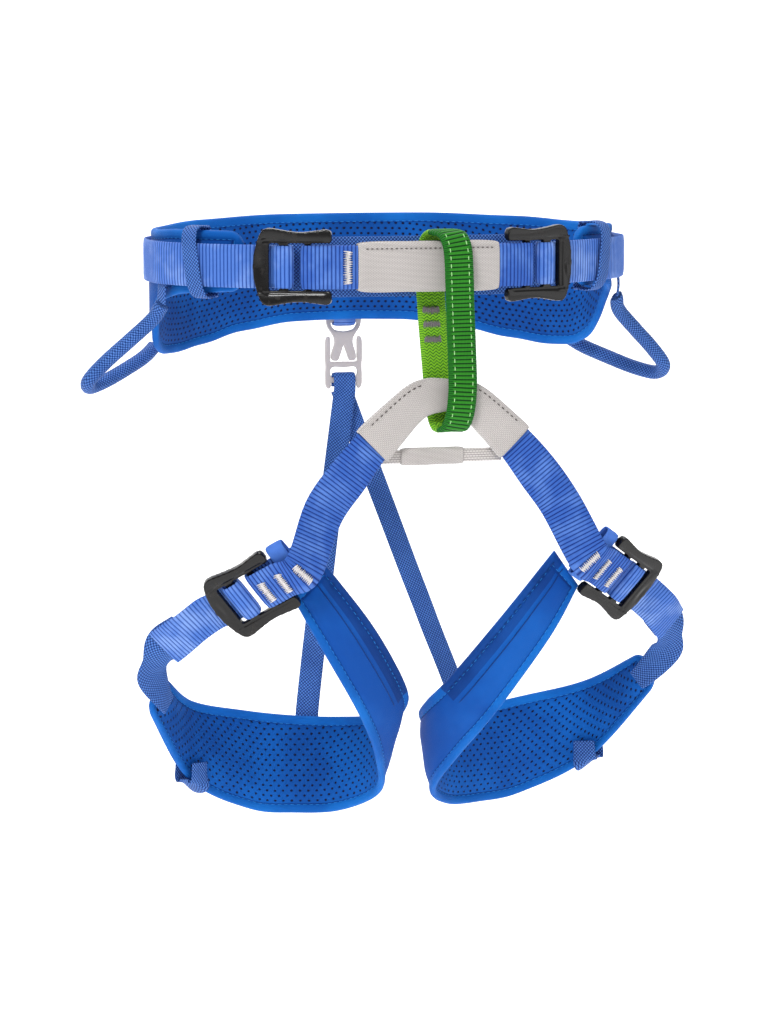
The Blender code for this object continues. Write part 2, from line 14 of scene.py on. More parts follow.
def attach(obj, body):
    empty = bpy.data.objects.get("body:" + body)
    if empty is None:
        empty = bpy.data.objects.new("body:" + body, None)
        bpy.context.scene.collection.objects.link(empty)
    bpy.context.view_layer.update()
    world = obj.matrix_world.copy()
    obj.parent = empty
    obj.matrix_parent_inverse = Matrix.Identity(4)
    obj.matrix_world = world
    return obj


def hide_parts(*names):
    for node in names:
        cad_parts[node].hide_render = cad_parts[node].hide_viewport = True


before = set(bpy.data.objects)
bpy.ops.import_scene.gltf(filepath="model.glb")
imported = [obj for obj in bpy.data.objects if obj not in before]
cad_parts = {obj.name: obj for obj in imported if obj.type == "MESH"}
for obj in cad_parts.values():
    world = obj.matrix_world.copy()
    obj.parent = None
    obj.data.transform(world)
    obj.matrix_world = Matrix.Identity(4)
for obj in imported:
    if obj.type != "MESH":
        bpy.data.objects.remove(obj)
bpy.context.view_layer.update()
MM = 0.001
rng = np.random.default_rng(7)

# the CAD's driving dimensions
WAIST_A, WAIST_B = 127.0, 82.0
PAD_END_DEG = 134.0
WEB_Z = 4.0
WEB_WIDTH, WEB_THICK = 22.6, 1.5
WEB_OFF_BACK, WEB_OFF_FRONT = 5.4, 7.9
TAIL_OFF = 6.0
KEEPER_DEG = {"left": 120.0, "right": 127.0}
PAD_TOP = [(0, 24), (20, 24), (45, 22.5), (70, 20.5), (90, 20.5), (110, 22), (134, 22)]
PAD_BOTTOM = [(0, -37), (15, -37.5), (30, -41.5), (45, -47.5), (58, -50.5), (69, -50),
              (78, -45), (85, -34), (91, -23), (99, -16), (112, -12), (134, -10)]
BAR_S, LOOP_R, FREE_S = 12.5, 3.3, 34.8
WINDOW_HALF = 12.3
LEG_X, ARCH_Y = 6.0, -98.0
LEG_TOP = [(64, -91, -149), (35, -85, -186), (13, -66, -220), (6, -44, -237), (12, -16, -249),
           (31, 8, -254), (54, 18, -254), (82, 20, -250), (115, 6, -240), (137, -26, -219)]
LEG_BOTTOM = [(79, -86, -169), (64, -86, -196), (38, -72, -239), (23, -49, -268),
              (16, -24, -292), (31, 0, -306), (54, 13, -309), (80, 17, -306), (117, 2, -284),
              (146, -30, -236)]
REAR_Y = 91.0
RISER_WIDTH, RISER_THICK = 13.0, 1.3
RISER_AT, RISER_FOOT, RISER_OFF = 0.633, 0.35, 5.6
RIB = 2.1                                  # pitch of the webbing's ribs
SIDES = (("left", -1), ("right", 1))


# ---- curves

def unit(v):
    v = np.asarray(v, float)
    return v / np.maximum(np.linalg.norm(v, axis=-1, keepdims=True), 1e-9)


def between(table, at):
    at = min(max(at, table[0][0]), table[-1][0])
    for (a, low), (b, high) in zip(table, table[1:]):
        if at <= b:
            t = (at - a) / (b - a)
            return low + (high - low) * t * t * (3 - 2 * t)
    return table[-1][1]


def smooth(points, steps, closed=False):
    """A Catmull-Rom curve through rows of numbers, with the given steps between two of them."""
    p = np.asarray(points, float)
    if closed:
        p = np.concatenate([p[-1:], p, p[:2]])
    else:
        p = np.concatenate([2 * p[:1] - p[1:2], p, 2 * p[-1:] - p[-2:-1]])
    out = []
    t = (np.arange(steps) / steps)[:, None]
    for a, b, c, d in zip(p, p[1:], p[2:], p[3:]):
        out.append(0.5 * (2 * b + (c - a) * t + (2 * a - 5 * b + 4 * c - d) * t ** 2
                          + (3 * b - a - 3 * c + d) * t ** 3))
    out = np.concatenate(out)
    return out if closed else np.concatenate([out, p[-2:-1]])


def lengths_along(points):
    """The length from the first point to each."""
    return np.concatenate([[0], np.cumsum(np.linalg.norm(np.diff(points, axis=0), axis=1))])


def resample(rows, step, closed=False):
    """Rows whose first three numbers are a point, at even steps of length. Returns rows and lengths."""
    if closed:
        rows = np.concatenate([rows, rows[:1]])
    gone = lengths_along(rows[:, :3])
    count = max(int(round(gone[-1] / step)), 2)
    at = np.linspace(0, gone[-1], count + 1)
    out = np.stack([np.interp(at, gone, rows[:, k]) for k in range(rows.shape[1])], axis=1)
    return (out[:-1], at) if closed else (out, at)


def tangents(points, closed=False):
    if closed:
        return unit(np.roll(points, -1, axis=0) - np.roll(points, 1, axis=0))
    return unit(np.gradient(points, axis=0))


def waist(deg, off=0.0, z=0.0):
    a = math.radians(deg)
    normal = unit([math.sin(a) / WAIST_A, math.cos(a) / WAIST_B, 0])
    return np.array([WAIST_A * math.sin(a), WAIST_B * math.cos(a), z]) + normal * off


def sided(side, centre_x=0.0):
    """Takes right-hand points, or directions without centre_x, to the side, +1 right or -1 left."""
    return lambda p: np.asarray(p, float) * (side, 1, 1) + (centre_x, 0, 0)


def to_front(v):
    """Directions, turned round where they point backwards."""
    return v * np.sign(-v[..., 1:2])


class Buckle:
    """A buckle's own frame, on the right: origin, and unit directions along s, w and n."""

    def __init__(self, origin, along, bars):
        self.origin = np.array(origin, float)
        self.s = unit(along)
        self.n = unit(np.cross(self.s, bars))
        self.w = np.cross(self.n, self.s)

    def at(self, s, n=0.0, w=0.0):
        return self.origin + self.s * s + self.n * n + self.w * w


WAIST_BUCKLE = {"left": Buckle((51.0, -85.4, WEB_Z), (0.93, 0.3675, 0), (0, 0, 1)),
                "right": Buckle((43.5, -87.4, WEB_Z), (0.95, 0.312, 0), (0, 0, 1))}
LEG_BUCKLE = Buckle((87.5, -98.0, -156.0), (0.743, 0.443, -0.501), (0.615, -0.157, 0.773))


# ---- materials

class Value:
    """A node's output. Arithmetic on it adds Math nodes."""

    def __init__(self, paint, socket):
        self.paint, self.socket = paint, socket

    def do(self, op, *others):
        return self.paint.fed("ShaderNodeMath", enumerate((self, *others)), operation=op)

    __add__ = lambda self, other: self.do("ADD", other)
    __sub__ = lambda self, other: self.do("SUBTRACT", other)
    __mul__ = lambda self, other: self.do("MULTIPLY", other)
    __truediv__ = lambda self, other: self.do("DIVIDE", other)
    __abs__ = lambda self: self.do("ABSOLUTE")

    def step(self, low, high):
        return self.paint.fed("ShaderNodeMapRange", enumerate((self, low, high)),
                              interpolation_type="SMOOTHSTEP")

    def wave(self, pitch):
        """|sin| humps: 0 at value 0 and 1 half a pitch later."""
        return abs((self * (math.pi / pitch)).do("SINE"))

    def odd(self):
        """1 where the whole part is odd, else 0."""
        return self.do("FLOOR").do("FLOORED_MODULO", 2.0)


class Paint:
    """A Principled material and short ways to wire its nodes. Patterns read the UV map, in millimetres."""

    def __init__(self, name, roughness, sheen=0.03, coat=0.0, specular=0.16):
        self.mat = bpy.data.materials.new(name)
        self.mat.use_nodes = True
        self.tree = self.mat.node_tree
        self.shader = self.tree.nodes["Principled BSDF"]
        for socket, value in (("Roughness", roughness), ("Sheen Weight", sheen), ("Sheen Roughness", 0.4),
                              ("Sheen Tint", (0.5, 0.65, 1.0)), ("Coat Weight", coat),
                              ("Coat Roughness", 0.12), ("Specular IOR Level", specular)):
            self.set(self.shader, socket, value)

    def set(self, node, socket, value):
        if isinstance(value, Value):
            self.tree.links.new(value.socket, node.inputs[socket])
        else:
            node.inputs[socket].default_value = (*value, 1) if isinstance(value, tuple) else value

    def fed(self, kind, values, output=0, **props):
        """The output of a new node whose inputs take the values, given as pairs of socket and value."""
        node = self.tree.nodes.new(kind)
        for key, value in props.items():
            setattr(node, key, value)
        for socket, value in values:
            self.set(node, socket, value)
        return Value(self, node.outputs[output])

    def uv(self):
        """u, along, and v, across."""
        u = self.fed("ShaderNodeSeparateXYZ", [(0, self.fed("ShaderNodeUVMap", (), uv_map="weave"))])
        return u, Value(self, u.socket.node.outputs[1])

    def noise(self, scale, detail=2.0):
        at = self.fed("ShaderNodeTexCoord", (), "Object")
        return self.fed("ShaderNodeTexNoise", (("Vector", at), ("Scale", scale), ("Detail", detail)))

    def mix(self, factor, low, high):
        return self.fed("ShaderNodeMix", ((0, factor), (6, low), (7, high)), 2, data_type="RGBA")

    def colour(self, value):
        self.set(self.shader, "Base Color", value)

    def rough(self, value):
        self.set(self.shader, "Roughness", value)

    def bump(self, height, depth_mm):
        bumped = (("Strength", 1.0), ("Distance", depth_mm * MM), ("Height", height))
        self.set(self.shader, "Normal", self.fed("ShaderNodeBump", bumped))


def fabric(roughness):
    """Makes a recipe for a pattern into a function that gives a material of that pattern."""
    def wrap(recipe):
        def material(name, *values):
            p = Paint(name, roughness)
            recipe(p, *p.uv(), *values)
            return p.mat
        return material
    return wrap


@fabric(0.55)
def webbing_paint(p, u, v, dark, light, pale):
    """Ribbed webbing: crosswise ribs with fine warp threads on them. The grooves between the ribs take the
    dark colour, painted shade, and noise patches lift the rib crests towards pale, a painted highlight.
    """
    rib, warp = u.wave(RIB), v.wave(0.62)
    # painted shade: the dark colour fills the grooves between the ribs
    thread = rib.step(0.1, 0.75) * (warp * 0.22 + 0.78)
    # painted highlight: noise patches where the rib crests turn towards pale
    wear_and_highlight = p.noise(60.0, 3.0).step(0.42, 0.72)
    p.colour(p.mix(wear_and_highlight * rib * 0.5, p.mix(thread, dark, light), pale))
    p.rough(rib * -0.12 + 0.66)
    p.bump(rib * 0.6 + warp * 0.4, 0.22)


@fabric(0.6)
def tape_paint(p, u, v, dark, light):
    """Diamond-woven tape: raised lozenges between two slanting sets of grooves."""
    lozenge = (u + v).wave(1.9) * (u - v).wave(1.9)
    shade = p.noise(45.0).step(0.3, 0.75)
    p.colour(p.mix(shade * 0.25, p.mix(lozenge.step(0.12, 0.55), dark, light), dark))
    p.bump(lozenge, 0.3)


@fabric(0.62)
def cover_paint(p, u, v, deep, bright):
    """Smooth tight-woven cover with a faint knit and soft wear."""
    knit = (u + v * 0.5).wave(0.55) * v.wave(0.45)
    cloud = p.noise(28.0, 3.0).step(0.35, 0.7)
    p.colour(p.mix(knit * 0.22, p.mix(cloud, deep, bright), bright))
    p.rough(cloud * -0.1 + 0.7)
    p.bump(knit + p.noise(160.0) * 1.2, 0.12)


@fabric(0.72)
def mesh_paint(p, u, v, deep, bright, along, across, radius):
    """Spacer mesh: staggered small holes in a fine knit. along and across are the holes' pitches."""
    line = v / across
    x = ((u / along + line.odd() * 0.5).do("FRACT") - 0.5) * along
    y = (line.do("FRACT") - 0.5) * (across * 1.25)
    far = (x * x + y * y).do("SQRT") + (p.noise(900.0) * 0.5 - 0.25)
    solid = far.step(radius * 0.75, radius * 1.35)
    knit = u.wave(0.82) * (v + u * 0.5).wave(0.75)
    body = p.mix(p.noise(30.0, 3.0).step(0.35, 0.7), deep, bright)
    body = p.mix((knit * -1.0 + 1.0) * 0.3, body, deep)
    p.colour(p.mix(solid, (0.0004, 0.004, 0.03), body))
    p.bump(solid * 1.5 + knit * 0.45, 0.35)


@fabric(0.8)
def sleeve_paint(p, u, v, shade, pale):
    """Fine plain weave of a protective sleeve: rows of small dimples."""
    row = 1.25
    tuck = abs((u * (math.pi / 1.7) + (v / row).odd() * (math.pi / 2)).do("SINE"))
    weave = v.wave(row).step(0.0, 0.6) * (tuck * 0.6 + 0.4)
    grime = p.noise(35.0, 3.0).step(0.3, 0.8)
    p.colour(p.mix(grime * 0.18, p.mix(weave.step(0.15, 0.75), shade, pale), shade))
    p.bump(weave, 0.2)


@fabric(0.5)
def ladder_paint(p, u, v, dark, mid, light):
    """Belay webbing's outer face: dark gaps between bars, with finely toothed borders."""
    bar, warp = u.wave(RIB).step(0.25, 0.7), v.wave(0.8)
    middle = p.mix(bar * warp * 0.35, p.mix(bar, dark, mid), light)
    rim = p.mix(u.wave(RIB / 2).step(0.2, 0.8), dark, mid)
    p.colour(p.mix(abs(v).step(5.7, 6.1), middle, rim))
    p.bump(bar * 0.8 + warp * 0.3, 0.3)


@fabric(0.55)
def zigzag_paint(p, u, v, dark, lime):
    """Belay webbing's inner face: a zigzag of lime threads over dark green."""
    stripe = (u + v.do("PINGPONG", 1.7) * 0.9).wave(1.7)
    rim = p.mix(u.wave(1.2).step(0.2, 0.7), dark, lime)
    p.colour(p.mix(abs(v).step(6.0, 6.6), p.mix(stripe.step(0.25, 0.6), dark, lime), rim))
    p.bump(stripe, 0.3)


def gloss_paint(name, base, wear_and_highlight, roughness, coat, specular):
    """Hard coating with fine mottling and small scuffs."""
    p = Paint(name, roughness, 0.0, coat, specular)
    scuff = p.noise(220.0, 6.0).step(0.58, 0.74)
    p.colour(p.mix(scuff * 0.5, base, wear_and_highlight))
    p.rough(scuff * 0.18 + (p.noise(40.0) * 0.16 + (roughness - 0.06)))
    p.bump(p.noise(500.0, 3.0), 0.03)
    return p.mat


@fabric(0.6)
def thread_paint(p, u, v, dark, light):
    """Twisted sewing thread."""
    twist = (u + v).wave(0.5)
    p.colour(p.mix(twist, dark, light))
    p.bump(twist, 0.08)


# first colour: painted shade in the grooves between ribs; last colour: painted highlight on the rib crests
WEBBING = webbing_paint("webbing_blue_woven", (0.008, 0.045, 0.26), (0.075, 0.19, 0.6), (0.34, 0.5, 0.88))
WEBBING_DEEP = webbing_paint("webbing_blue_deep", (0.004, 0.022, 0.17), (0.035, 0.12, 0.48),
                             (0.16, 0.32, 0.76))
TAPE = tape_paint("tape_blue_woven", (0.004, 0.025, 0.15), (0.08, 0.21, 0.6))
COVER = cover_paint("cover_blue_woven", (0.0005, 0.062, 0.33), (0.001, 0.095, 0.43))
ELASTIC = cover_paint("elastic_blue", (0.06, 0.17, 0.6), (0.12, 0.28, 0.76))
# the cover's blue made brighter for the rolled hem: painted highlight
HEM = cover_paint("hem_blue", (0.0008, 0.095, 0.42), (0.002, 0.145, 0.55))
# darker blue: the leg pads' binding strip, and painted shade in the groove beside the hem stitching
BINDING_AND_GROOVE_SHADE = cover_paint("binding_blue", (0.0005, 0.035, 0.2), (0.0008, 0.06, 0.3))
MESH_WAIST = mesh_paint("mesh_blue_belt", (0.0005, 0.06, 0.3), (0.001, 0.105, 0.45), 4.1, 3.0, 0.75)
MESH_LEG = mesh_paint("mesh_blue_leg", (0.0005, 0.065, 0.32), (0.001, 0.11, 0.47), 4.9, 2.9, 0.7)
SLEEVE = sleeve_paint("sleeve_grey_woven", (0.22, 0.2, 0.19), (0.6, 0.565, 0.55))
LADDER = ladder_paint("belay_green_ladder", (0.001, 0.03, 0.003), (0.012, 0.17, 0.01), (0.06, 0.34, 0.02))
ZIGZAG = zigzag_paint("belay_green_zigzag", (0.006, 0.11, 0.01), (0.2, 0.5, 0.02))
BUCKLE = gloss_paint("buckle_black_coat", (0.0035, 0.003, 0.003), (0.02, 0.016, 0.014), 0.22, 0.08, 0.3)
PLASTIC = gloss_paint("plastic_grey_moulded", (0.44, 0.4, 0.4), (0.55, 0.52, 0.51), 0.42, 0.15, 0.5)
THREAD_WHITE = thread_paint("thread_white", (0.5, 0.46, 0.46), (0.85, 0.82, 0.82))
THREAD_GREY = thread_paint("thread_grey", (0.12, 0.11, 0.12), (0.24, 0.22, 0.23))
THREAD_GREEN = thread_paint("thread_green", (0.25, 0.6, 0.2), (0.5, 0.85, 0.4))
THREAD_BLUE = thread_paint("thread_blue", (0.003, 0.11, 0.45), (0.03, 0.26, 0.72))
THREAD_DARK = thread_paint("thread_dark_blue", (0.001, 0.02, 0.12), (0.004, 0.05, 0.24))
THREAD_TAUPE = thread_paint("thread_taupe", (0.05, 0.045, 0.042), (0.14, 0.125, 0.115))
SLOT_OF = {WEBBING: "webbing_blue", WEBBING_DEEP: "webbing_blue", ELASTIC: "webbing_blue",
           TAPE: "tape_blue", SLEEVE: "sleeve_grey", LADDER: "belay_green"}


# ---- meshes

def linked(name, data):
    """A new object in the scene."""
    made = bpy.data.objects.new(name, data)
    bpy.context.scene.collection.objects.link(made)
    return made


def outwards(obj):
    """Turns a closed mesh's faces outwards."""
    bm = bmesh.new()
    bm.from_mesh(obj.data)
    bmesh.ops.recalc_face_normals(bm, faces=bm.faces)
    bm.to_mesh(obj.data)
    bm.free()
    return obj


def closed_object(name, points, faces, loop_uv, mats, picked):
    """A smooth closed object. picked is each face's place in mats."""
    mesh = bpy.data.meshes.new(name)
    mesh.from_pydata((points * MM).tolist(), [], faces)
    mesh.uv_layers.new(name="weave").data.foreach_set("uv", loop_uv.ravel())
    for mat in mats:
        mesh.materials.append(mat)
    mesh.polygons.foreach_set("material_index", picked)
    mesh.polygons.foreach_set("use_smooth", np.ones(len(faces), bool))
    mesh.update()
    return outwards(linked(name, mesh))


def grid_object(name, points, uv, mats, looped=False, mat_of=None):
    """A mesh from a grid of points, each row a ring. looped joins the last row to the first, and else both
    are capped. uv has a column more than points, and a row more where it is looped."""
    rows, cols = points.shape[:2]
    strips = np.arange(rows if looped else rows - 1)
    i, j = (a.ravel() for a in np.meshgrid(strips, np.arange(cols), indexing="ij"))
    corners = [(i, j), (i, j + 1), (i + 1, j + 1), (i + 1, j)]
    faces = np.stack([(a % rows) * cols + b % cols for a, b in corners], axis=1).tolist()
    loop_uv = np.stack([uv[a, b] for a, b in corners], axis=1).reshape(-1, 2)
    if not looped:
        faces += [list(range(cols))[::-1], list(range((rows - 1) * cols, rows * cols))]
        loop_uv = np.concatenate([loop_uv, uv[0, :cols][::-1], uv[-1, :cols]])
    picked = np.zeros(len(faces), int)
    if mat_of is not None:
        picked[:len(i)] = mat_of(i, j)
    return closed_object(name, points.reshape(-1, 3), faces, loop_uv, mats, picked)


def stand(obj, body, slot, *nodes):
    """obj rides on a body and stands for the CAD nodes, which are hidden. slot is not used."""
    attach(obj, body)
    if nodes:
        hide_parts(*nodes)
    return obj


def path_rows(centres, across, width, steps=6, closed=False):
    """Smooth rows of point, unit width direction and width, for a ribbon."""
    count = len(centres)
    across = np.broadcast_to(np.asarray(across, float), (count, 3))
    width = np.broadcast_to(np.asarray(width, float).reshape(-1, 1), (count, 1))
    return smooth(np.concatenate([centres, unit(across), width], axis=1), steps, closed)


def ribbon(name, rows, thickness, mats, body, *nodes, pitch=RIB, relief=0.22, closed=False, across_count=8,
           pick=None, step=None):
    """Woven webbing along rows from path_rows. Its ribs, its rounded edges and a slow waver are geometry."""
    rows, at = resample(rows, step or pitch / 5, closed)
    centres, across, width = rows[:, :3], unit(rows[:, 3:6]), rows[:, 6]
    along = tangents(centres, closed)
    across = unit(across - along * np.sum(across * along, axis=1, keepdims=True))
    normal = np.cross(along, across)
    length = at[:len(rows)]
    rib = np.abs(np.sin(math.pi * length / pitch)) ** 0.8 if pitch else np.zeros(len(rows))
    core = (thickness - relief) / 2
    edge = np.linspace(-1, 1, across_count)
    waver = 0.12 * np.sin(length / 9.0 + 1.3 * np.sin(length / 23.0))
    ring, uv = [], []
    for face in (1, -1):
        for e in edge * face:
            soft = 1 - 0.45 * abs(e) ** 12
            n = face * (core * soft + relief * rib * (1 - 0.5 * abs(e) ** 8)) + waver * e * e
            w = e * (width / 2 - 0.35)
            ring.append(centres + across * w[:, None] + normal * n[:, None])
            uv.append(w)
        side = face * (width / 2 + 0.12 * rib - 0.05)
        ring.append(centres + across * side[:, None] + normal * waver[:, None])
        uv.append(side)
    values = np.stack(uv + [uv[0]], axis=1)
    if closed:
        values = np.concatenate([values, values[:1]])
    lengths = np.broadcast_to(at[:, None], values.shape)
    chosen = pick(centres) if pick else np.zeros(len(rows), int)
    made = grid_object(name, np.stack(ring, axis=1), np.stack([lengths, values], axis=2), mats, closed,
                       lambda i, j: chosen[i])
    return stand(made, body, SLOT_OF[mats[0]], *nodes)


def tape(name, rows, thickness, body, *nodes, mat=TAPE, step=0.7, **more):
    """A ribbon without ribs."""
    return ribbon(name, rows, thickness, [mat], body, *nodes, pitch=0, relief=0, step=step, **more)


def threads(name, paths, radius, sides, mat, body, slot):
    """Round threads along several paths, as one mesh, each closed at its ends."""
    verts, faces, uvs = [], [], []
    turn = np.linspace(0, 2 * math.pi, sides, endpoint=False)
    for path in paths:
        path = np.asarray(path, float)
        along = tangents(path)
        side = unit(np.cross(along, unit([0.31, 0.52, 0.79])))
        up = np.cross(along, side)
        base, gone = len(verts), lengths_along(path)
        for k, p in enumerate(path):
            r = radius * (0.55 if k in (0, len(path) - 1) else 1.0)
            for a in turn:
                verts.append(p + side[k] * math.cos(a) * r + up[k] * math.sin(a) * r)
                uvs.append((gone[k], a * radius))
        for k in range(len(path) - 1):
            for j in range(sides):
                a, b = base + k * sides + j, base + k * sides + (j + 1) % sides
                faces.append((a, b, b + sides, a + sides))
        faces.append(tuple(base + j for j in range(sides))[::-1])
        faces.append(tuple(base + (len(path) - 1) * sides + j for j in range(sides)))
    loop_uv = np.array(uvs)[np.concatenate(faces)]
    made = closed_object(name, np.array(verts), faces, loop_uv, [mat], np.zeros(len(faces), int))
    return stand(made, body, slot)


def dashes(points, normals, length=2.3, gap=1.3, sunk=0.1, rise=0.22):
    """Short arched stitches along a path that lies on a surface."""
    rows = np.concatenate([points, normals], axis=1)
    rows, at = resample(rows, 0.3)
    out, start = [], gap
    while start + length < at[-1]:
        pick = [np.array([np.interp(start + length * t, at, rows[:, k]) for k in range(6)])
                for t in (0, 0.2, 0.5, 0.8, 1)]
        heights = (-sunk, rise * 0.8, rise, rise * 0.8, -sunk)
        out.append([p[:3] + unit(p[3:]) * h for p, h in zip(pick, heights)])
        start += length + gap
    return out


def bartack(centre, along, cross, normal, length, width, turns=11):
    """A zigzag of thread, length long and width wide, lying on a surface."""
    ends = np.linspace(-0.5, 0.5, turns * 2 + 1)
    path = [np.asarray(centre) + unit(along) * t * length
            + unit(cross) * width * (0.5 if k % 2 else -0.5) * (0.85 + 0.3 * rng.random())
            + unit(normal) * (0.25 if k % 2 else 0.15)
            for k, t in enumerate(ends)]
    return smooth(path, 2)


# ---- pads

HEM_AT = (0, 0.3, 1.0, 2.0, 3.2, 4.2, 4.9, 5.5, 6.4, 8.0, 10.5, 13.5)    # columns, in from an edge
STITCH_AT = 5.2
BINDING_END = 96.0


def pad_half(d, crown):
    """Half a pad's thickness at a distance in from its nearest edge: a rolled hem, a groove, a crown."""
    hem = 2.0 * np.sqrt(np.clip(1 - (1 - np.clip(d, 0, 2) / 2) ** 2, 0, 1))
    dip = 0.75 * np.exp(-((d - STITCH_AT) / 0.75) ** 2)
    rise = np.clip((d - 5.4) / 8.0, 0, 1)
    return hem - dip + (crown - 2.0) * rise * rise * (3 - 2 * rise)


def both_faces(front, back, closed=True):
    """Columns across the front and back again over the other face, and the first once more if closed."""
    return np.concatenate([front, back[:, -2:0:-1]] + [front[:, :1]] * closed, axis=1)


class Pad:
    """A padded band on the ruled surface between two curves, bottom and top."""

    def __init__(self, bottom, top, crown=3.3):
        rows = np.concatenate([(bottom + top) / 2, bottom, top], axis=1)
        length = resample(rows, 1.0)[1][-1]
        ends = np.array(HEM_AT[:-1])
        at = np.concatenate([ends, np.arange(13, length - 13, 2.0), length - ends[::-1]])
        gone = lengths_along(rows[:, :3])
        rows = np.stack([np.interp(at, gone, rows[:, k]) for k in range(9)], axis=1)
        self.at = at
        bottom, up = rows[:, 3:6], rows[:, 6:9] - rows[:, 3:6]
        self.wide = np.linalg.norm(up, axis=1)
        squeeze = np.minimum(1, self.wide / 34)
        inner = np.linspace(0, 1, 6)[1:-1]
        low = np.array(HEM_AT)
        self.depth = np.zeros((len(at), 2 * len(low) + len(inner)))
        share = np.zeros_like(self.depth)
        for i, (w, k) in enumerate(zip(self.wide, squeeze)):
            d = np.concatenate([low * k, low[-1] * k + (w - 2 * low[-1] * k) * inner, w - low[::-1] * k])
            share[i] = d / w
            self.depth[i] = np.minimum(np.minimum(d, w - d) / k, min(at[i], length - at[i]) + 0.02)
        self.share = share
        self.half = np.maximum(pad_half(self.depth, crown), 0.12)
        self.half[:, (0, -1)] = 0
        self.middle = bottom[:, None] + up[:, None] * share[:, :, None]
        along = np.gradient(self.middle, axis=0)
        self.normal = unit(np.cross(np.broadcast_to(up[:, None], along.shape), along))

    def outline(self, side, inset):
        """A path on one face, along both long edges and round the tips: points and outward normals."""
        columns = self.share.shape[1]
        near = int(np.argmin(np.abs(np.array(HEM_AT) - inset)))
        rows = list(range(near, len(self.at) - near))
        loop = [(i, near) for i in rows] + [(rows[-1], j) for j in range(near, columns - near)]
        loop += [(i, columns - 1 - near) for i in reversed(rows)]
        loop += [(rows[0], j) for j in range(columns - 1 - near, near, -1)]
        i, j = np.array(loop).T
        normal = self.normal[i, j] * side
        return self.middle[i, j] + normal * self.half[i, j][:, None], normal

    def build(self, name, lining, place, binding=None):
        """The pad's mesh. binding is the length to which a strip along the top of the cover is bound."""
        front = self.middle + self.normal * self.half[:, :, None]
        back = self.middle - self.normal * self.half[:, :, None]
        points = place(both_faces(front, back, False))
        wide = self.share * self.wide[:, None]
        across = both_faces(wide, wide)
        uv = np.stack([np.broadcast_to(self.at[:, None], across.shape), across], axis=2)
        columns = self.share.shape[1]
        depth = both_faces(self.depth, self.depth)

        def mat_of(i, j):
            d = np.minimum(depth[i, j], depth[i, j + 1])
            far = np.maximum(depth[i, j], depth[i, j + 1])
            picked = np.where(j < columns - 1, 0, 1)
            # index 2 on the rolled hem: painted highlight
            picked = np.where(far < 5.6, 2, picked)
            # index 3 in the groove beside the hem stitching: painted shade
            picked = np.where((d > 4.5) & (far < 5.9), 3, picked)
            if binding is not None:
                strip = (j < columns - 1) & (j > columns - 12) & (self.at[i] < binding) & (picked < 3)
                picked = np.where(strip, 3, picked)
            return picked

        made = grid_object(name, points, uv, [COVER, lining, HEM, BINDING_AND_GROOVE_SHADE], mat_of=mat_of)
        return puff(made, np.clip((depth[:, :-1].ravel() - 6.0) / 5.0, 0, 1))


def puff(obj, loose, cap=0.7):
    """Swells a pad by cloth simulation, held along its hem, and applies the result."""
    held = obj.vertex_groups.new(name="held")
    for k, free in enumerate(loose):
        held.add([k], 1.0 - float(free), "REPLACE")
    cloth = obj.modifiers.new("swell", "CLOTH")
    for key, value in dict(quality=4, mass=0.15, tension_stiffness=12, compression_stiffness=12,
                           bending_stiffness=0.2, use_pressure=True, uniform_pressure_force=4,
                           vertex_group_mass="held").items():
        setattr(cloth.settings, key, value)
    cloth.settings.effector_weights.gravity = 0
    cloth.collision_settings.use_collision = False
    scene = bpy.context.scene
    for step in range(1, 16):
        scene.frame_set(step)
    solved = obj.evaluated_get(bpy.context.evaluated_depsgraph_get()).to_mesh()
    rest = np.zeros(len(obj.data.vertices) * 3)
    moved = np.zeros_like(rest)
    obj.data.vertices.foreach_get("co", rest)
    solved.vertices.foreach_get("co", moved)
    shift = (moved - rest).reshape(-1, 3)
    size = np.linalg.norm(shift, axis=1, keepdims=True)
    shift *= cap * MM * np.tanh(size / (cap * MM)) / np.maximum(size, 1e-9) * loose[:, None]
    obj.evaluated_get(bpy.context.evaluated_depsgraph_get()).to_mesh_clear()
    obj.modifiers.remove(cloth)
    scene.frame_set(1)
    obj.data.vertices.foreach_set("co", (rest.reshape(-1, 3) + shift).ravel())
    obj.data.update()
    return obj


def stitched(name, pad, place, body):
    """Hem stitching on both faces of a pad."""
    runs = []
    for side in (1, -1):
        points, normals = pad.outline(side, STITCH_AT - 0.3)
        flat = place(normals) - place(np.zeros(3))
        runs += dashes(place(points), flat, 2.2, 1.4, 0.15, 0.2)
    threads(name, runs, 0.21, 5, THREAD_BLUE, body, "cover_blue")


def eased(table, deg):
    """A table's value with its knots rounded off."""
    shares = {d: math.exp(-(d / 3.5) ** 2) for d in range(-8, 9)}
    return sum(between(table, deg + d) * share for d, share in shares.items()) / sum(shares.values())


def waist_pad():
    degrees = np.linspace(-PAD_END_DEG, PAD_END_DEG, 270)
    bottom, top = [], []
    tip = 8.0
    for deg in degrees:
        short = max(0.0, tip - (PAD_END_DEG - abs(deg)) * 1.75)
        inset = tip - math.sqrt(tip ** 2 - min(short, tip * 0.98) ** 2)
        top.append(waist(deg, 0, eased(PAD_TOP, abs(deg)) - inset))
        bottom.append(waist(deg, 0, eased(PAD_BOTTOM, abs(deg)) + inset))
    pad = Pad(np.array(bottom), np.array(top))
    if np.dot(pad.normal[len(pad.at) // 2, 12], (0, 1, 0)) < 0:
        pad.normal = -pad.normal
    same = sided(1)
    made = pad.build("belt_padding", MESH_WAIST, same)
    stand(made, "waist_belt", "cover_blue", "waist_pad_cover", "waist_pad_foam", "waist_pad_lining")
    stitched("belt_hem_stitches", pad, same, "waist_belt")


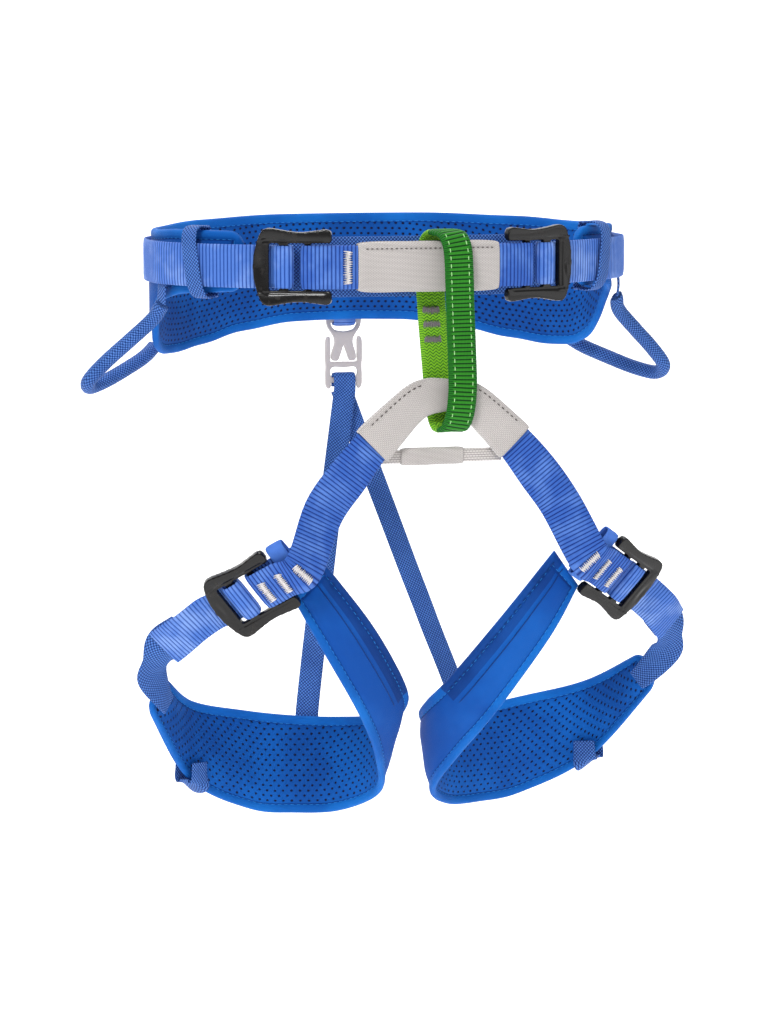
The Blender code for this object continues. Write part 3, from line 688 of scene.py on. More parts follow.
def leg_curves():
    """A leg pad's bottom and top edges, with the corners rounded at the outer end."""
    bottom, top = smooth(LEG_BOTTOM, 12), smooth(LEG_TOP, 12)
    rows = np.concatenate([(bottom + top) / 2, bottom, top], axis=1)
    rows, at = resample(rows, 2.0)
    corner = 7.0
    short = np.clip(corner - np.minimum(at, at[-1] - at), 0, corner * 0.97)
    inset = (corner - np.sqrt(corner ** 2 - short ** 2)) * (at > at[-1] / 2)
    up = unit(rows[:, 6:9] - rows[:, 3:6])
    return rows[:, 3:6] + up * inset[:, None], rows[:, 6:9] - up * inset[:, None]


def leg_rows(off, steps=6):
    """The CAD's rows of a leg pad on the right: bottom and top points, moved outwards by off."""
    top, bottom = smooth(LEG_TOP, steps), smooth(LEG_BOTTOM, steps)
    out = []
    for i in range(len(top)):
        ahead, behind = min(i + 1, len(top) - 1), max(i - 1, 0)
        up = top[i] - bottom[i]
        row = []
        for point, line in ((bottom[i], bottom), (top[i], top)):
            row.append(point + unit(np.cross(up, line[ahead] - line[behind])) * off)
        out.append(row)
    return np.array(out)


LEG_CACHE = {}


def at_leg(part, share, off):
    """The point at a part of a leg pad's length and a share of its height, moved outwards by off."""
    if off not in LEG_CACHE:
        LEG_CACHE[off] = leg_rows(off)
    rows = LEG_CACHE[off]
    place = part * (len(rows) - 1)
    i = min(int(place), len(rows) - 2)
    a, b = (rows[k][0] + (rows[k][1] - rows[k][0]) * share for k in (i, i + 1))
    return a + (b - a) * (place - i)


def binding_seams(name, pad, place):
    """The seam that joins a leg pad's binding to its cover, and the dark stitches beside it."""
    last = int(np.searchsorted(pad.at, BINDING_END))
    rows = np.arange(3, last)

    def line(column, lift):
        normal = pad.normal[rows, column]
        return place(pad.middle[rows, column] + normal * (pad.half[rows, column][:, None] + lift)), normal

    columns = pad.share.shape[1]
    seam, _ = line(columns - 12, 0.02)
    threads(f"leg_binding_seam_{name}", [seam], 0.34, 6, THREAD_DARK, "leg_loops", "cover_blue")
    path, normal = line(columns - 6, 0.0)
    runs = dashes(path, place(normal) - place(np.zeros(3)), 2.6, 1.5, 0.12, 0.28)
    threads(f"leg_binding_stitches_{name}", runs, 0.3, 5, THREAD_DARK, "leg_loops", "cover_blue")


def leg_pads():
    pad = Pad(*leg_curves())
    for name, side in SIDES:
        place = sided(side, LEG_X)
        made = pad.build(f"leg_padding_{name}", MESH_LEG, place, BINDING_END)
        stand(made, "leg_loops", "cover_blue",
              *(f"leg_pad_{layer}_{name}" for layer in ("cover", "foam", "lining")))
        stitched(f"leg_hem_stitches_{name}", pad, place, "leg_loops")
        binding_seams(name, pad, place)


# ---- straps of the belt

UP = np.array((0.0, 0.0, 1.0))


def point_along(rows, at_length, w):
    """A point, and the along, across and normal directions, at a length on a ribbon."""
    rows, at = resample(rows, 0.5)
    pick = lambda v: np.array([np.interp(at_length, at, v[:, k]) for k in range(3)])
    along, across = unit(pick(tangents(rows[:, :3]))), unit(pick(rows[:, 3:6]))
    return pick(rows[:, :3]) + across * w, along, across, unit(np.cross(along, across))


def waist_webbing():
    def off(deg):
        return between([(0, WEB_OFF_BACK), (92, WEB_OFF_BACK), (105, WEB_OFF_FRONT),
                        (134, WEB_OFF_FRONT)], abs(deg))

    span = 132
    back = [waist(d, off(d), WEB_Z) for d in range(-span, span + 1, 4)]
    left, right = ([sided(side)(WAIST_BUCKLE[name].at(s, -2.75)) for s in (44, FREE_S)]
                   for name, side in SIDES)
    line = left[::-1] + back + right
    rows = path_rows(np.array(line), UP, WEB_WIDTH, 4)
    ribbon("belt_webbing", rows, WEB_THICK, [WEBBING], "waist_belt", "waist_webbing")

    for name, side in SIDES:
        place = sided(side)
        tail = [WAIST_BUCKLE[name].at(s, n) for s, n in ((FREE_S, -4.9), (42, -4.4))]
        tail += [waist(d, TAIL_OFF, WEB_Z) for d in (130, 126, 122, 118, 114, 111)]
        rows = path_rows(place(tail), UP, WEB_WIDTH - 1, 4)
        ribbon(f"belt_tail_{name}", rows, 1.1, [WEBBING_DEEP], "waist_belt", f"waist_tail_{name}")
        keeper(name, side)


def keeper(name, side):
    """A closed band of tape round the pad and the webbing."""
    inner, outer = -5.1, 10.2
    centre = KEEPER_DEG[name]
    top, bottom = between(PAD_TOP, centre) + 1.4, between(PAD_BOTTOM, centre) - 1.4
    half = 2.6
    ring = [(inner, bottom + 3), (inner, top - 3), (inner + 2.5, top), (outer - 4, top),
            (outer, top - 6), (outer + 0.6, WEB_Z), (outer, bottom + 6), (outer - 4, bottom),
            (inner + 2.5, bottom)]
    place = sided(side)
    centres, across, width = [], [], []
    for off, z in smooth(ring, 4, closed=True):
        middle = centre + 1.5 - 3.0 * (z - bottom) / (top - bottom)
        a, b = waist(middle - half, off, z), waist(middle + half, off, z)
        centres.append((a + b) / 2)
        across.append(place(b - a))
        width.append(np.linalg.norm(b - a))
    rows = path_rows(place(centres), np.array(across), np.array(width), 3, closed=True)
    tape(f"belt_keeper_{name}", rows, 1.2, "waist_belt", f"waist_keeper_{name}", closed=True)


def half_turn():
    """Sine and cosine round half a circle."""
    return [(math.sin(a), math.cos(a)) for a in map(math.radians, range(0, 181, 20))]


def turn_round(hub, start_s, end_s, n):
    """Points out to a buckle's bar, round it and back."""
    arc = [hub.at(BAR_S + n * sine, n * cosine) for sine, cosine in half_turn()]
    return [hub.at(start_s, n)] + arc + [hub.at(end_s, -n)]


def sleeve(name, centres, ups, half_high, half_deep, thick, body, node, wear=0.25):
    """A fabric tube of rounded flat section along centres, open at both ends, with real thickness. Returns
    its outward directions."""
    out = unit(np.cross(tangents(centres), ups))
    length = lengths_along(centres)
    rings, uvs = [], []
    lip = 0.5 * np.exp(-np.minimum(length, length[-1] - length) / 1.2)
    for a in np.linspace(0, 2 * math.pi, 72, endpoint=False):
        c, s = math.cos(a), math.sin(a)
        round_c = abs(c) ** 0.42 * np.sign(c)
        round_s = abs(s) ** 0.55 * np.sign(s)
        waver = wear * np.sin(length / 6.5 + 2.1 * a) * np.sin(a * 2 + length / 15)
        h, d = half_high - lip + waver * 0.5, half_deep - lip * 0.6 + waver * 0.4
        outside, inside = (centres + ups * ((h - wall) * round_s)[:, None]
                           + out * ((d - wall) * round_c)[:, None] for wall in (0.0, thick))
        rings.append(np.concatenate([outside, inside[::-1]]))
        around = half_high.mean() * 2 * round_s
        uvs.append(np.stack([np.concatenate([length, length[::-1], length[:1]]),
                             np.full(2 * len(length) + 1, around)], axis=1))
    uvs.append(uvs[0])
    made = grid_object(name, np.array(rings), np.array(uvs), [SLEEVE], looped=True)
    stand(made, body, SLOT_OF[SLEEVE], node)
    return out


def tie_in():
    halves = {}
    for name, side, ahead, behind in (("left", -1, [(12, -91.6), (26, -90.9), (40, -89.6)],
                                       [(44, -84.6), (36, -86.1)]),
                                      ("right", 1, [(12, -91.6), (24, -91.2), (35, -90.5)],
                                       [(38, -85.9), (30, -86.6)])):
        path = [(x, y, WEB_Z) for x, y in ahead] + turn_round(WAIST_BUCKLE[name], 2, 3, LOOP_R)
        path += [(x, y, WEB_Z) for x, y in behind]
        halves[name] = sided(side)(np.array(path))
    line = np.concatenate([halves["left"][::-1], [(0, -91.9, WEB_Z)], halves["right"]])
    rows = path_rows(line, UP, WEB_WIDTH, 5)
    ribbon("tie_in_webbing_woven", rows, WEB_THICK, [WEBBING_DEEP], "waist_belt", "tie_in_webbing")

    reach, bow = 38, 1.2
    x = np.linspace(-reach, reach, 120)
    centres = np.stack([x, -89.2 + bow * (x / reach) ** 2, np.full_like(x, WEB_Z)], axis=1)
    high = 13.3 - 0.7 * (np.abs(x) / reach) ** 6
    out = sleeve("tie_in_sleeve_woven", centres, UP, high, 4.5, 0.9, "waist_belt", "tie_in_sleeve")
    front = to_front(out)
    line = centres + UP * 9.6 + front * 4.35
    run = dashes(line[4:-4], front[4:-4], 1.1, 1.5, 0.2, 0.22)
    threads("tie_in_sleeve_stitches", run, 0.32, 5, THREAD_TAUPE, "waist_belt", "sleeve_grey")

    tack = bartack((-43.6, -90.2, WEB_Z), UP, (1, -0.1, 0), (-0.1, -1, 0), 17.0, 4.2, 14)
    threads("tie_in_bartack", [tack], 0.42, 5, THREAD_WHITE, "waist_belt", "webbing_blue")

    band = [(-84, -58.5), (-66, -64), (-44, -68), (-22, -69.8), (0, -70.3), (22, -69.8), (44, -68),
            (66, -64), (84, -58.5)]
    rows = path_rows(np.array([(x, y, 3) for x, y in band]), UP, 32, 8)
    tape("tie_in_backing_woven", rows, 1.2, "waist_belt", "tie_in_backing", step=1.2, across_count=10)


# ---- buckles

PLATE_THICK = 3.0


def evaluated_mesh(obj):
    bpy.context.view_layer.update()
    return bpy.data.meshes.new_from_object(obj.evaluated_get(bpy.context.evaluated_depsgraph_get()))


def cast_plate(name, outlines, voxel, relax, matrix, shape, mat, body, slot, node):
    """A moulded plate: outlines, remeshed finely, relaxed and then shaped by shape(x, y, z) in mm."""
    curve = bpy.data.curves.new(name + "_outline", "CURVE")
    curve.dimensions = "2D"
    curve.fill_mode = "BOTH"
    curve.extrude = PLATE_THICK / 2 * MM
    for outline in outlines:
        spline = curve.splines.new("POLY")
        spline.points.add(len(outline) - 1)
        for point, (x, y) in zip(spline.points, outline):
            point.co = (x * MM, y * MM, 0, 1)
        spline.use_cyclic_u = True
    flat = linked(name + "_outline", curve)
    made = linked(name, evaluated_mesh(flat))
    bpy.data.objects.remove(flat)
    remesh = made.modifiers.new("fine", "REMESH")
    remesh.mode = "VOXEL"
    remesh.voxel_size = voxel * MM
    ease = made.modifiers.new("relaxed", "SMOOTH")
    ease.factor = 0.5
    ease.iterations = relax
    done = evaluated_mesh(made)
    made.modifiers.clear()
    made.data = done
    co = np.zeros(len(done.vertices) * 3)
    done.vertices.foreach_get("co", co)
    x, y, z = co.reshape(-1, 3).T / MM
    done.vertices.foreach_set("co", (np.stack(shape(x, y, z), axis=1) * MM).ravel())
    done.transform(matrix)
    done.polygons.foreach_set("use_smooth", np.ones(len(done.polygons), bool))
    done.materials.clear()
    done.materials.append(mat)
    outwards(made)
    done.update()
    return stand(made, body, slot, node)


def frame_outlines():
    """A buckle frame's outline, open at the near end, and its two windows, in s and w."""
    edge = smooth([(0.6, 12.5), (0.0, 13.8), (0.0, 17.4), (1.2, 19.2), (3.8, 19.6), (9, 18.9), (15, 18.2),
                   (20, 18.4), (25, 19.1), (30, 20.0), (33.3, 20.3), (35.9, 19.3), (37.8, 16.8),
                   (39.6, 12), (41.0, 6.5), (41.6, 0)], 3).tolist()
    bar = 1.5
    inner = [(BAR_S - bar, WINDOW_HALF), (BAR_S - bar, -WINDOW_HALF)]
    outline = edge + [(s, -w) for s, w in reversed(edge[:-1])] + inner[::-1]

    def window(low, high):
        return [(low, -WINDOW_HALF), (high, -WINDOW_HALF), (high, WINDOW_HALF), (low, WINDOW_HALF)]

    return [outline, window(BAR_S + bar, 23.0), window(27.5, 33.0)]


def bump_at(value, middle, spread):
    return np.exp(-((value - middle) / spread) ** 2)


def buckle_shape(s, w, n):
    """Sculpts the frame: rounded cheeks with a groove, a raised end with a dished thumb rest."""
    wide = np.abs(w)
    rim = 16.2 + 1.6 * bump_at(s, 32, 9) - 0.3 * bump_at(s, 14, 6)
    crown = np.clip(1 - ((wide - rim) / 4.2) ** 2, 0, 1) * (wide > 12.2)
    groove = bump_at(wide, 13.6, 0.5) * np.clip((s - 2) / 3, 0, 1) * (s < 36)
    end = np.clip(1 - ((s - 37.2) / 4.6) ** 2, 0, 1) * (wide < 14.5)
    dish = bump_at(s, 38.4, 1.7) * bump_at(w, 0, 5.5)
    line = bump_at(s, 34.6, 0.4) * (wide < 12)
    face = np.clip(n / 1.2, -1, 1)
    n = n + face * (0.75 * crown + 0.7 * end - 0.7 * dish - 0.45 * groove - 0.3 * line)
    n = n + 0.9 * (wide / 20) ** 3 * np.clip(s / 30, 0, 1)
    return s, w, n


WRAP = [(34.2, -2.75), (32.3, -2.6), (31.0, -1.5), (30.2, 0.0), (29.4, 1.4), (28.2, 2.5),
        (26.5, 2.9), (24.0, 2.9), (22.0, 2.5), (21.0, 1.2), (20.7, 0.0), (20.8, -1.6),
        (21.6, -3.4), (23.2, -4.6), (26.0, -5.0), (33.2, -5.0)]


def buckle(region, name, side, hub, centre_x):
    """A buckle's frame and the strap wrapped round its far bar."""
    place, turn = sided(side, centre_x), sided(side)
    s, n = turn(hub.s), turn(hub.n)
    w = np.cross(n, s)
    matrix = Matrix(np.stack([s, w, n], axis=1).tolist()).to_4x4()
    matrix = Matrix.Translation(Vector(place(hub.origin) * MM)) @ matrix
    body = f"{region}_buckle_{name}"
    cast_plate(f"{region}_buckle_frame_{name}", frame_outlines(), 0.5, 5, matrix, buckle_shape, BUCKLE,
               body, "buckle_black", body)
    rows = path_rows(place([hub.at(a, b) for a, b in WRAP]), turn(hub.w), WEB_WIDTH - 0.4, 5)
    ribbon(f"{region}_wrap_{name}", rows, 1.4, [WEBBING], body, f"{region}_strap_wrap_{name}")


REAR_PLANE = Matrix.Translation((0, REAR_Y * MM, 0)) @ Matrix.Rotation(math.radians(90), 4, "X")


def mirrored(half):
    half = smooth(half, 3).tolist()
    return half + [(-x, z) for x, z in reversed(half)]


def moulded(x, y, z):
    """Rounds the faces of the rear buckle's halves a little towards their edges."""
    return x, y, z * (1.06 - 0.1 * np.clip(np.abs(x) / 10.4, 0, 1) ** 4)


def rear_buckle():
    outline = mirrored([(0.01, -35.2), (7, -35.2), (9.6, -36), (10.4, -38.5), (9.4, -42.5), (6.6, -46.6),
                        (5.4, -49.5), (5.6, -52.5), (7.0, -57), (7.3, -60.2), (6.2, -61.6),
                        (3.6, -61.6), (2.3, -59), (0.01, -52)])
    slot = mirrored([(0.01, -39.4), (7.2, -39.4), (7.4, -41.2), (5.2, -43.8), (0.01, -44.8)])
    cast_plate("rear_hook_moulded", [outline, slot], 0.4, 4, REAR_PLANE, moulded, PLASTIC,
               "waist_belt", "plastic_grey", "rear_buckle_hook")
    outline = mirrored([(0.01, -62.3), (7.6, -62.3), (8.0, -60), (8.0, -49.5), (8.8, -47.6), (10.2, -48.2),
                        (10.9, -51), (11.0, -60), (10.7, -64), (10.9, -74), (10.2, -77),
                        (8.6, -78), (7.6, -76), (7.4, -74.4), (0.01, -74.4)])
    slot = mirrored([(0.01, -65.6), (7.3, -65.6), (7.3, -71.2), (0.01, -71.2)])
    cast_plate("rear_catch_moulded", [outline, slot], 0.4, 4, REAR_PLANE, moulded, PLASTIC,
               "risers", "plastic_grey", "rear_buckle_catch")

    bar_z, radius = -37.3, 3.7
    path = [(0, REAR_Y - radius, z) for z in (-14, -24, -32)]
    path += [(0, REAR_Y - radius * cosine, bar_z - radius * sine) for sine, cosine in half_turn()]
    path += [(0, 94.5, -30), (0, 92.6, -20), (0, 90.6, -12), (0, 90.1, 0), (0, 90.1, 11)]
    rows = path_rows(np.array(path, float), (1, 0, 0), 12.8, 5)
    ribbon("rear_hanger_woven", rows, 1.2, [WEBBING], "waist_belt", "rear_hanger_tape", pitch=1.7)
    tack = [bartack((0, 90.95, z), (1, 0, 0), UP, (0, 1, 0), 9.0, 2.2, 9) for z in (-9, 7)]
    threads("rear_hanger_bartacks", tack, 0.28, 5, THREAD_BLUE, "waist_belt", "webbing_blue")


# ---- gear loops

GEAR_PATH = [(128.2, -20, -18.8), (132, -13, -27), (143, -8, -38), (155.6, -3, -50), (164, 1.5, -60),
             (162.6, 10.5, -65), (152, 18.5, -62.5), (138, 27, -56.5), (127.5, 35, -51.5), (120, 44, -46.5)]


def gear_loop(name, side):
    """A sheathed cord, ridged lengthwise and flattened where it is sewn, and the tape its top hangs from."""
    place = sided(side)
    rows, at = resample(smooth(GEAR_PATH, 10), 0.8)
    rows = place(rows)
    along = tangents(rows)
    out = unit(rows - np.array((side * 135.0, 5.0, -40.0)))
    side_way = unit(np.cross(along, out))
    out = np.cross(side_way, along)
    flat = 1 - 0.5 * np.exp(-np.minimum(at, at[-1] - at) / 5.0)
    sides = 48
    ring, around = [], []
    for k in range(sides):
        a = 2 * math.pi * k / sides
        ridge = 0.16 * abs(math.sin(a * 5)) + 0.25 * math.exp(-((math.cos(a) + 1) / 0.03) ** 2)
        wave = 0.06 * np.sin(at * math.pi / 0.95 + (k % 2) * math.pi)
        r = 3.82 + ridge + wave
        ring.append(rows + out * (r * flat * math.cos(a))[:, None] + side_way * (r * math.sin(a))[:, None])
        around.append(np.full(len(at), 4.0 * a))
    around.append(np.full(len(at), 8.0 * math.pi))
    values = np.stack(around, axis=1)
    uv = np.stack([np.broadcast_to(at[:, None], values.shape), values], axis=2)
    made = grid_object(f"gear_loop_sheath_{name}", np.stack(ring, axis=1), uv, [TAPE])
    stand(made, f"gear_loop_{name}", "tape_blue", f"gear_loop_{name}")

    tab = [waist(104, 5.3, 4), waist(104, 5.4, -6), waist(104, 5.8, -12), (128.6, -20.4, -17.6)]
    rows = path_rows(place(tab), place(waist(107, 5, 0) - waist(101, 5, 0)), 7.6, 8)
    tape(f"gear_loop_tab_{name}", rows, 1.3, "waist_belt")


# ---- belay loop

BELAY = [(4.5, -77.2, -5), (4.5, -77.2, 6), (5.2, -78.4, 15), (7, -82.6, 20.4), (9, -88.5, 21.6),
         (11.5, -95.2, 20.2), (13.2, -98.6, 14), (13.8, -99.6, 4), (14.2, -100.4, -15),
         (14.5, -102.4, -35), (14.5, -104.8, -52), (14, -106, -62), (13, -105, -72.5),
         (11.4, -101.8, -79.2), (9.5, -98, -80.8), (7.6, -94.2, -79.2), (6.4, -91, -72.5),
         (5.6, -89.8, -62), (5, -88, -50), (4.5, -81.4, -25)]


def belay_loop():
    rows = path_rows(np.array(BELAY, float), (0.99, 0.08, 0), 16.0, 8, closed=True)
    rear_y = -85.0

    def rear(centres):
        y, z = centres[:, 1], centres[:, 2]
        return ((y > rear_y) | ((y > -97) & (z < -30))).astype(int)

    ribbon("belay_loop_woven", rows, 3.2, [LADDER, ZIGZAG], "belay_loop", "belay_loop", closed=True,
           across_count=12, relief=0.4, pick=rear)

    dense, _ = resample(rows, 0.5, True)
    line = tangents(dense[:, :3], True)
    front = (dense[:, 1] < -94.5) & (dense[:, 2] > -79)
    outward = to_front(unit(np.cross(line, dense[:, 3:6])))[front]
    runs = []
    for w in (-4.9, 4.9):
        path = dense[front, :3] + unit(dense[front, 3:6]) * w + outward * 1.65
        runs += dashes(path, outward, 2.2, 1.9, 0.15, 0.22)
    threads("belay_front_stitches", runs, 0.24, 5, THREAD_GREEN, "belay_loop", "belay_green")

    bars, cross = [], unit((0.99, 0.08, 0))
    for z in (-19.5, -27.0, -34.8):
        y = np.interp(z, (-50, -25, -5), (-88, -81.4, -77.2))
        bars.append(bartack((3.6, y - 1.75, z), cross, (0, 0.12, 1), (0, -1, 0.15), 9.0, 3.6, 8))
    threads("belay_bartacks", bars, 0.55, 6, THREAD_GREY, "belay_loop", "belay_green")


# ---- leg loops

ARCH = [(0, -63, 0, 1), (8, -63.5, 0.12, 0.993), (16, -67, 0.4, 0.917), (27, -77, 0.62, 0.785),
        (39, -89, 0.7, 0.714), (52, -105, 0.78, 0.626), (65, -123, 0.8, 0.6)]


def bridge_half():
    centres = [(x, ARCH_Y, z) for x, z, _, _ in ARCH]
    across = [(a, 0, b) for _, _, a, b in ARCH]
    centres.append(LEG_BUCKLE.at(-14, LOOP_R))
    across.append((0.74, -0.07, 0.67))
    round_bar = turn_round(LEG_BUCKLE, 0, 3, LOOP_R)
    centres += round_bar
    across += [LEG_BUCKLE.w] * len(round_bar)
    centres += [LEG_BUCKLE.at(-5, -LOOP_R + 0.4), LEG_BUCKLE.at(-15, -LOOP_R + 0.8)]
    across += [LEG_BUCKLE.w, (0.74, -0.07, 0.67)]
    widths = [16.4, 16.4, 16.6, 18.0, 20.0] + [WEB_WIDTH] * (len(centres) - 5)
    return np.array(centres, float), unit(across), np.array(widths)


def leg_bridge():
    centres, across, widths = bridge_half()
    whole = np.concatenate([sided(-1, LEG_X)(centres[:0:-1]), sided(1, LEG_X)(centres)])
    ways = np.concatenate([sided(-1)(across[:0:-1]), across])
    rows = path_rows(whole, ways, np.concatenate([widths[:0:-1], widths]), 6)
    ribbon("leg_bridge_woven", rows, WEB_THICK, [WEBBING_DEEP], "leg_loops", "leg_bridge_webbing")

    total = resample(rows, 0.5)[1][-1]
    tacks = []
    for _, side in SIDES:
        for back in (41.0, 51.5, 63.0):
            at = total - back if side > 0 else back
            point, along, ways_here, normal = point_along(rows, at, -1.5)
            normal = to_front(normal)
            point = point + normal * (WEB_THICK / 2 + 0.2)
            tacks.append(bartack(point, ways_here, along, normal, 12.5, 4.2, 11))
    threads("leg_bridge_bartacks", tacks, 0.42, 5, THREAD_WHITE, "leg_loops", "webbing_blue")

    steps = smooth([(x, z, a) for x, z, a, _ in ARCH[:5]], 12)
    path = np.concatenate([steps[:0:-1] * (-1, 1, -1), steps])
    x, z, a = path.T
    centres = np.stack([LEG_X + x, np.full_like(x, ARCH_Y), z], axis=1)
    ups = np.stack([a, np.zeros_like(a), np.sqrt(1 - a * a)], axis=1)
    high = 9.6 + 2.1 * (np.abs(x) / 39) ** 2 - 1.2 * np.exp(-((x - 5) / 9) ** 2)
    out = sleeve("leg_bridge_sleeve_woven", centres, ups, high, 2.9, 0.8, "leg_loops", "leg_bridge_sleeve")
    front = to_front(out)
    runs = []
    for part in (slice(4, 34), slice(-34, -4)):
        line = centres[part] + ups[part] * (high[part] - 2.6)[:, None] + front[part] * 2.75
        runs += dashes(line, front[part], 1.6, 1.6, 0.2, 0.25)
    threads("leg_bridge_sleeve_stitches", runs, 0.34, 5, THREAD_TAUPE, "leg_loops", "sleeve_grey")

    across_y, across_z = -93.4, -95.5
    ends = np.array([(LEG_X + t, across_y, across_z) for t in (-33, -16, 0, 16, 33)], float)
    rows = path_rows(ends, UP, 7.2, 8)
    tape("leg_crosspiece_woven", rows, 1.4, "leg_loops", "leg_crosspiece", mat=SLEEVE, step=0.8)
    x = np.linspace(-22, 12, 60)
    centres = np.stack([LEG_X + x, np.full_like(x, across_y), np.full_like(x, across_z)], axis=1)
    sleeve("leg_crosspiece_sheath_woven", centres, UP, np.full_like(x, 4.6), 1.8, 0.6, "leg_loops",
           "leg_crosspiece_sheath", 0.1)


def paired(pairs, steps):
    """Ribbon rows from pairs of edge points."""
    low, high = (np.array([p[k] for p in pairs], float) for k in (0, 1))
    return path_rows((low + high) / 2, high - low, np.linalg.norm(high - low, axis=1), steps)


def leg_straps(name, side):
    place, turn = sided(side, LEG_X), sided(side)
    path = [LEG_BUCKLE.at(FREE_S, -2.75), LEG_BUCKLE.at(41, -2.75), LEG_BUCKLE.at(48, -3.2),
            (133, -68.5, -188), (142.5, -58.5, -198)]
    ways = [LEG_BUCKLE.w] * 3 + [(0.42, -0.28, 0.86), (0.2, -0.3, 0.93)]
    rows = path_rows(place(path), turn(ways), WEB_WIDTH - 0.6, 8)
    ribbon(f"leg_strap_woven_{name}", rows, WEB_THICK, [WEBBING], "leg_loops", f"leg_strap_{name}")
    rows = path_rows(place([LEG_BUCKLE.at(s, -5.0) for s in (FREE_S, 40, 46)]), turn(LEG_BUCKLE.w),
                     WEB_WIDTH - 3, 8)
    ribbon(f"leg_tail_woven_{name}", rows, 1.1, [WEBBING_DEEP], "leg_loops", f"leg_tail_{name}")

    inside = -5.8
    end_top, end_low = at_leg(0.93, 1.0, inside), at_leg(0.93, 0.0, inside)
    tip_top, tip_low = at_leg(1.0, 1.0, inside), at_leg(1.0, 0.0, inside)
    near_top, near_low = (end_top + tip_top * 3) / 4, (end_low + tip_low * 3) / 4
    pairs = [(near_top + (near_low - near_top) * 0.3, near_top + (near_low - near_top) * 0.8),
             (tip_top + (tip_low - tip_top) * 0.2, tip_top + (tip_low - tip_top) * 0.9),
             ((137.5, -41, -212.5), (154, -43.5, -219)),
             ((139.5, -47, -210.5), (151, -52, -203)),
             ((139.2, -53.2, -207.3), (143.6, -59.9, -186.8)),
             ((127.2, -63.5, -196.6), (136.6, -69.6, -177.4))]
    rows = paired([(place(a), place(b)) for a, b in pairs], 10)
    tape(f"leg_end_loop_woven_{name}", rows, 1.3, "leg_loops", f"leg_end_loop_{name}", across_count=12)

    at, half = 0.885, 0.015
    outside = 5.8
    pairs = [tuple(place(at_leg(at + d, share, off)) for d in (-half, half)) for off, share in
             ((outside, 0.26), (outside, 0.14), (outside, 0.02), (outside * 0.8, -0.045), (0.0, -0.065),
              (-outside * 0.8, -0.045), (-outside, 0.02), (-outside, 0.14), (-outside, 0.24))]
    tape(f"leg_hem_tab_woven_{name}", paired(pairs, 6), 1.0, "leg_loops", f"leg_hem_tab_{name}", step=0.6)

    half = WEB_WIDTH / 2
    ring = [(-0.7, -half - 1.2), (0.3, 0), (-0.2, half + 1), (-0.7, half + 5), (-2.6, half + 6.2),
            (-4.6, half + 4), (-5.0, 0), (-4.4, -half - 1.2), (-2.4, -half - 2.4)]
    centres = [LEG_BUCKLE.at(-6.5, n, w) for n, w in ring]
    rows = path_rows(place(centres), turn(LEG_BUCKLE.s), 10.0, 8, closed=True)
    tape(f"leg_keeper_woven_{name}", rows, 1.0, "leg_loops", f"leg_keeper_{name}", mat=ELASTIC, closed=True)


def riser(name, side, front_y, over_bar):
    """A strap from the rear buckle's catch down to where it is sewn on a leg pad's back."""
    place, turn = sided(side, LEG_X), sided(side)
    lower = [place(at_leg(RISER_AT, share, RISER_OFF + more))
             for share, more in ((1.08, 1.6), (0.92, 0.9), (0.6, 0.0), (RISER_FOOT, 0.0))]
    flat = unit(at_leg(RISER_AT + 0.02, 0.5, 0.0) - at_leg(RISER_AT - 0.02, 0.5, 0.0))
    flat = turn(flat) * side
    start = np.array((0, front_y, -79.0))
    lean = np.array((0, 1.5, 0))
    path = [start, start + (lower[0] - start) * 0.33 + lean, start + (lower[0] - start) * 0.7 + lean, *lower]
    path = smooth(path, 6)
    share = np.minimum(1, 1.5 * np.arange(len(path)) / len(path))[:, None]
    ways = np.array((1.0, 0, 0)) * (1 - share) + flat * share
    if over_bar:
        radius, bar_z = 3.1, -72.2
        arc = [(0, REAR_Y + radius * cosine, bar_z + radius * sine) for sine, cosine in half_turn()]
        arc = np.array([(0, REAR_Y + radius, -77)] + arc)
        path = np.concatenate([arc, path])
        ways = np.concatenate([np.broadcast_to((1.0, 0, 0), arc.shape), ways])
    rows = path_rows(path, ways, RISER_WIDTH, 3)
    tape(f"riser_woven_{name}", rows, RISER_THICK, "risers", f"riser_{name}", step=0.8)


# ---- assembly, camera and light

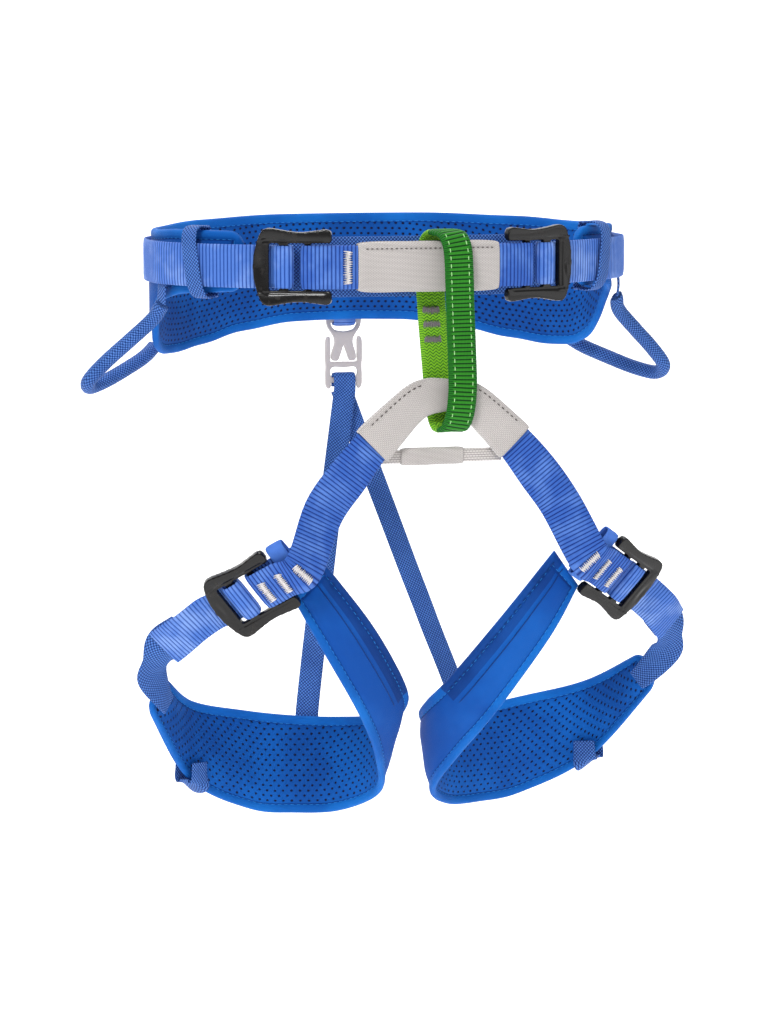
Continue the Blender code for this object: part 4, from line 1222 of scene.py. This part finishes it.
waist_pad()
leg_pads()
waist_webbing()
tie_in()
rear_buckle()
belay_loop()
leg_bridge()
for label, hand in SIDES:
    buckle("waist", label, hand, WAIST_BUCKLE[label], 0)
    buckle("leg", label, hand, LEG_BUCKLE, LEG_X)
    gear_loop(label, hand)
    leg_straps(label, hand)
riser("left", -1, 87.9, True)
riser("right", 1, 96.2, False)


def camera():
    azimuth, elevation, distance = math.radians(-15), math.radians(8), 1.8
    target = Vector((0, 0, -0.138))
    back = Vector((math.sin(azimuth) * math.cos(elevation), -math.cos(azimuth) * math.cos(elevation),
                   math.sin(elevation)))
    data = bpy.data.cameras.new("photo_camera")
    data.lens, data.sensor_width = 113.9, 36.0
    made = linked("photo_camera", data)
    made.location = target + back * distance
    made.rotation_euler = (-back).to_track_quat("-Z", "Y").to_euler()
    bpy.context.scene.camera = made


def studio():
    reach, level, wall = 7.0, -0.42, 3.2
    sheets = {"floor": [(-reach, -reach, level), (reach, -reach, level), (reach, wall, level),
                        (-reach, wall, level)],
              "backdrop": [(-reach, wall, level), (reach, wall, level), (reach, wall, 4), (-reach, wall, 4)]}
    for name, corners in sheets.items():
        mesh = bpy.data.meshes.new(name)
        mesh.from_pydata(corners, [], [(0, 1, 2, 3)])
        paint = Paint(f"{name}_pale", 0.9, 0.0)
        paint.colour(paint.mix(paint.noise(3.0), (0.88, 0.88, 0.88), (0.92, 0.92, 0.92)))
        paint.set(paint.shader, "Emission Color", (1.0, 1.0, 1.0))
        paint.set(paint.shader, "Emission Strength", 0.55)
        mesh.materials.append(paint.mat)
        linked(name, mesh)
    for name, at, size, power in (("key", (-1.0, -1.5, 1.5), 0.6, 34), ("fill", (1.6, -1.3, 0.3), 1.0, 5),
                                  ("top", (0.1, 0.5, 1.7), 0.9, 18), ("back", (-0.3, 1.8, 0.6), 1.4, 8)):
        data = bpy.data.lights.new(name, "AREA")
        data.size, data.energy = size, power
        made = linked(name, data)
        made.location = at
        made.rotation_euler = (Vector(at) - Vector((0, 0, -0.15))).to_track_quat("Z", "Y").to_euler()
    world = bpy.data.worlds.new("studio")
    world.use_nodes = True
    sky = world.node_tree.nodes["Background"].inputs
    sky[0].default_value, sky[1].default_value = (1, 1, 1, 1), 0.42
    bpy.context.scene.view_settings.view_transform = "Standard"
    bpy.context.scene.world = world


camera()
studio()
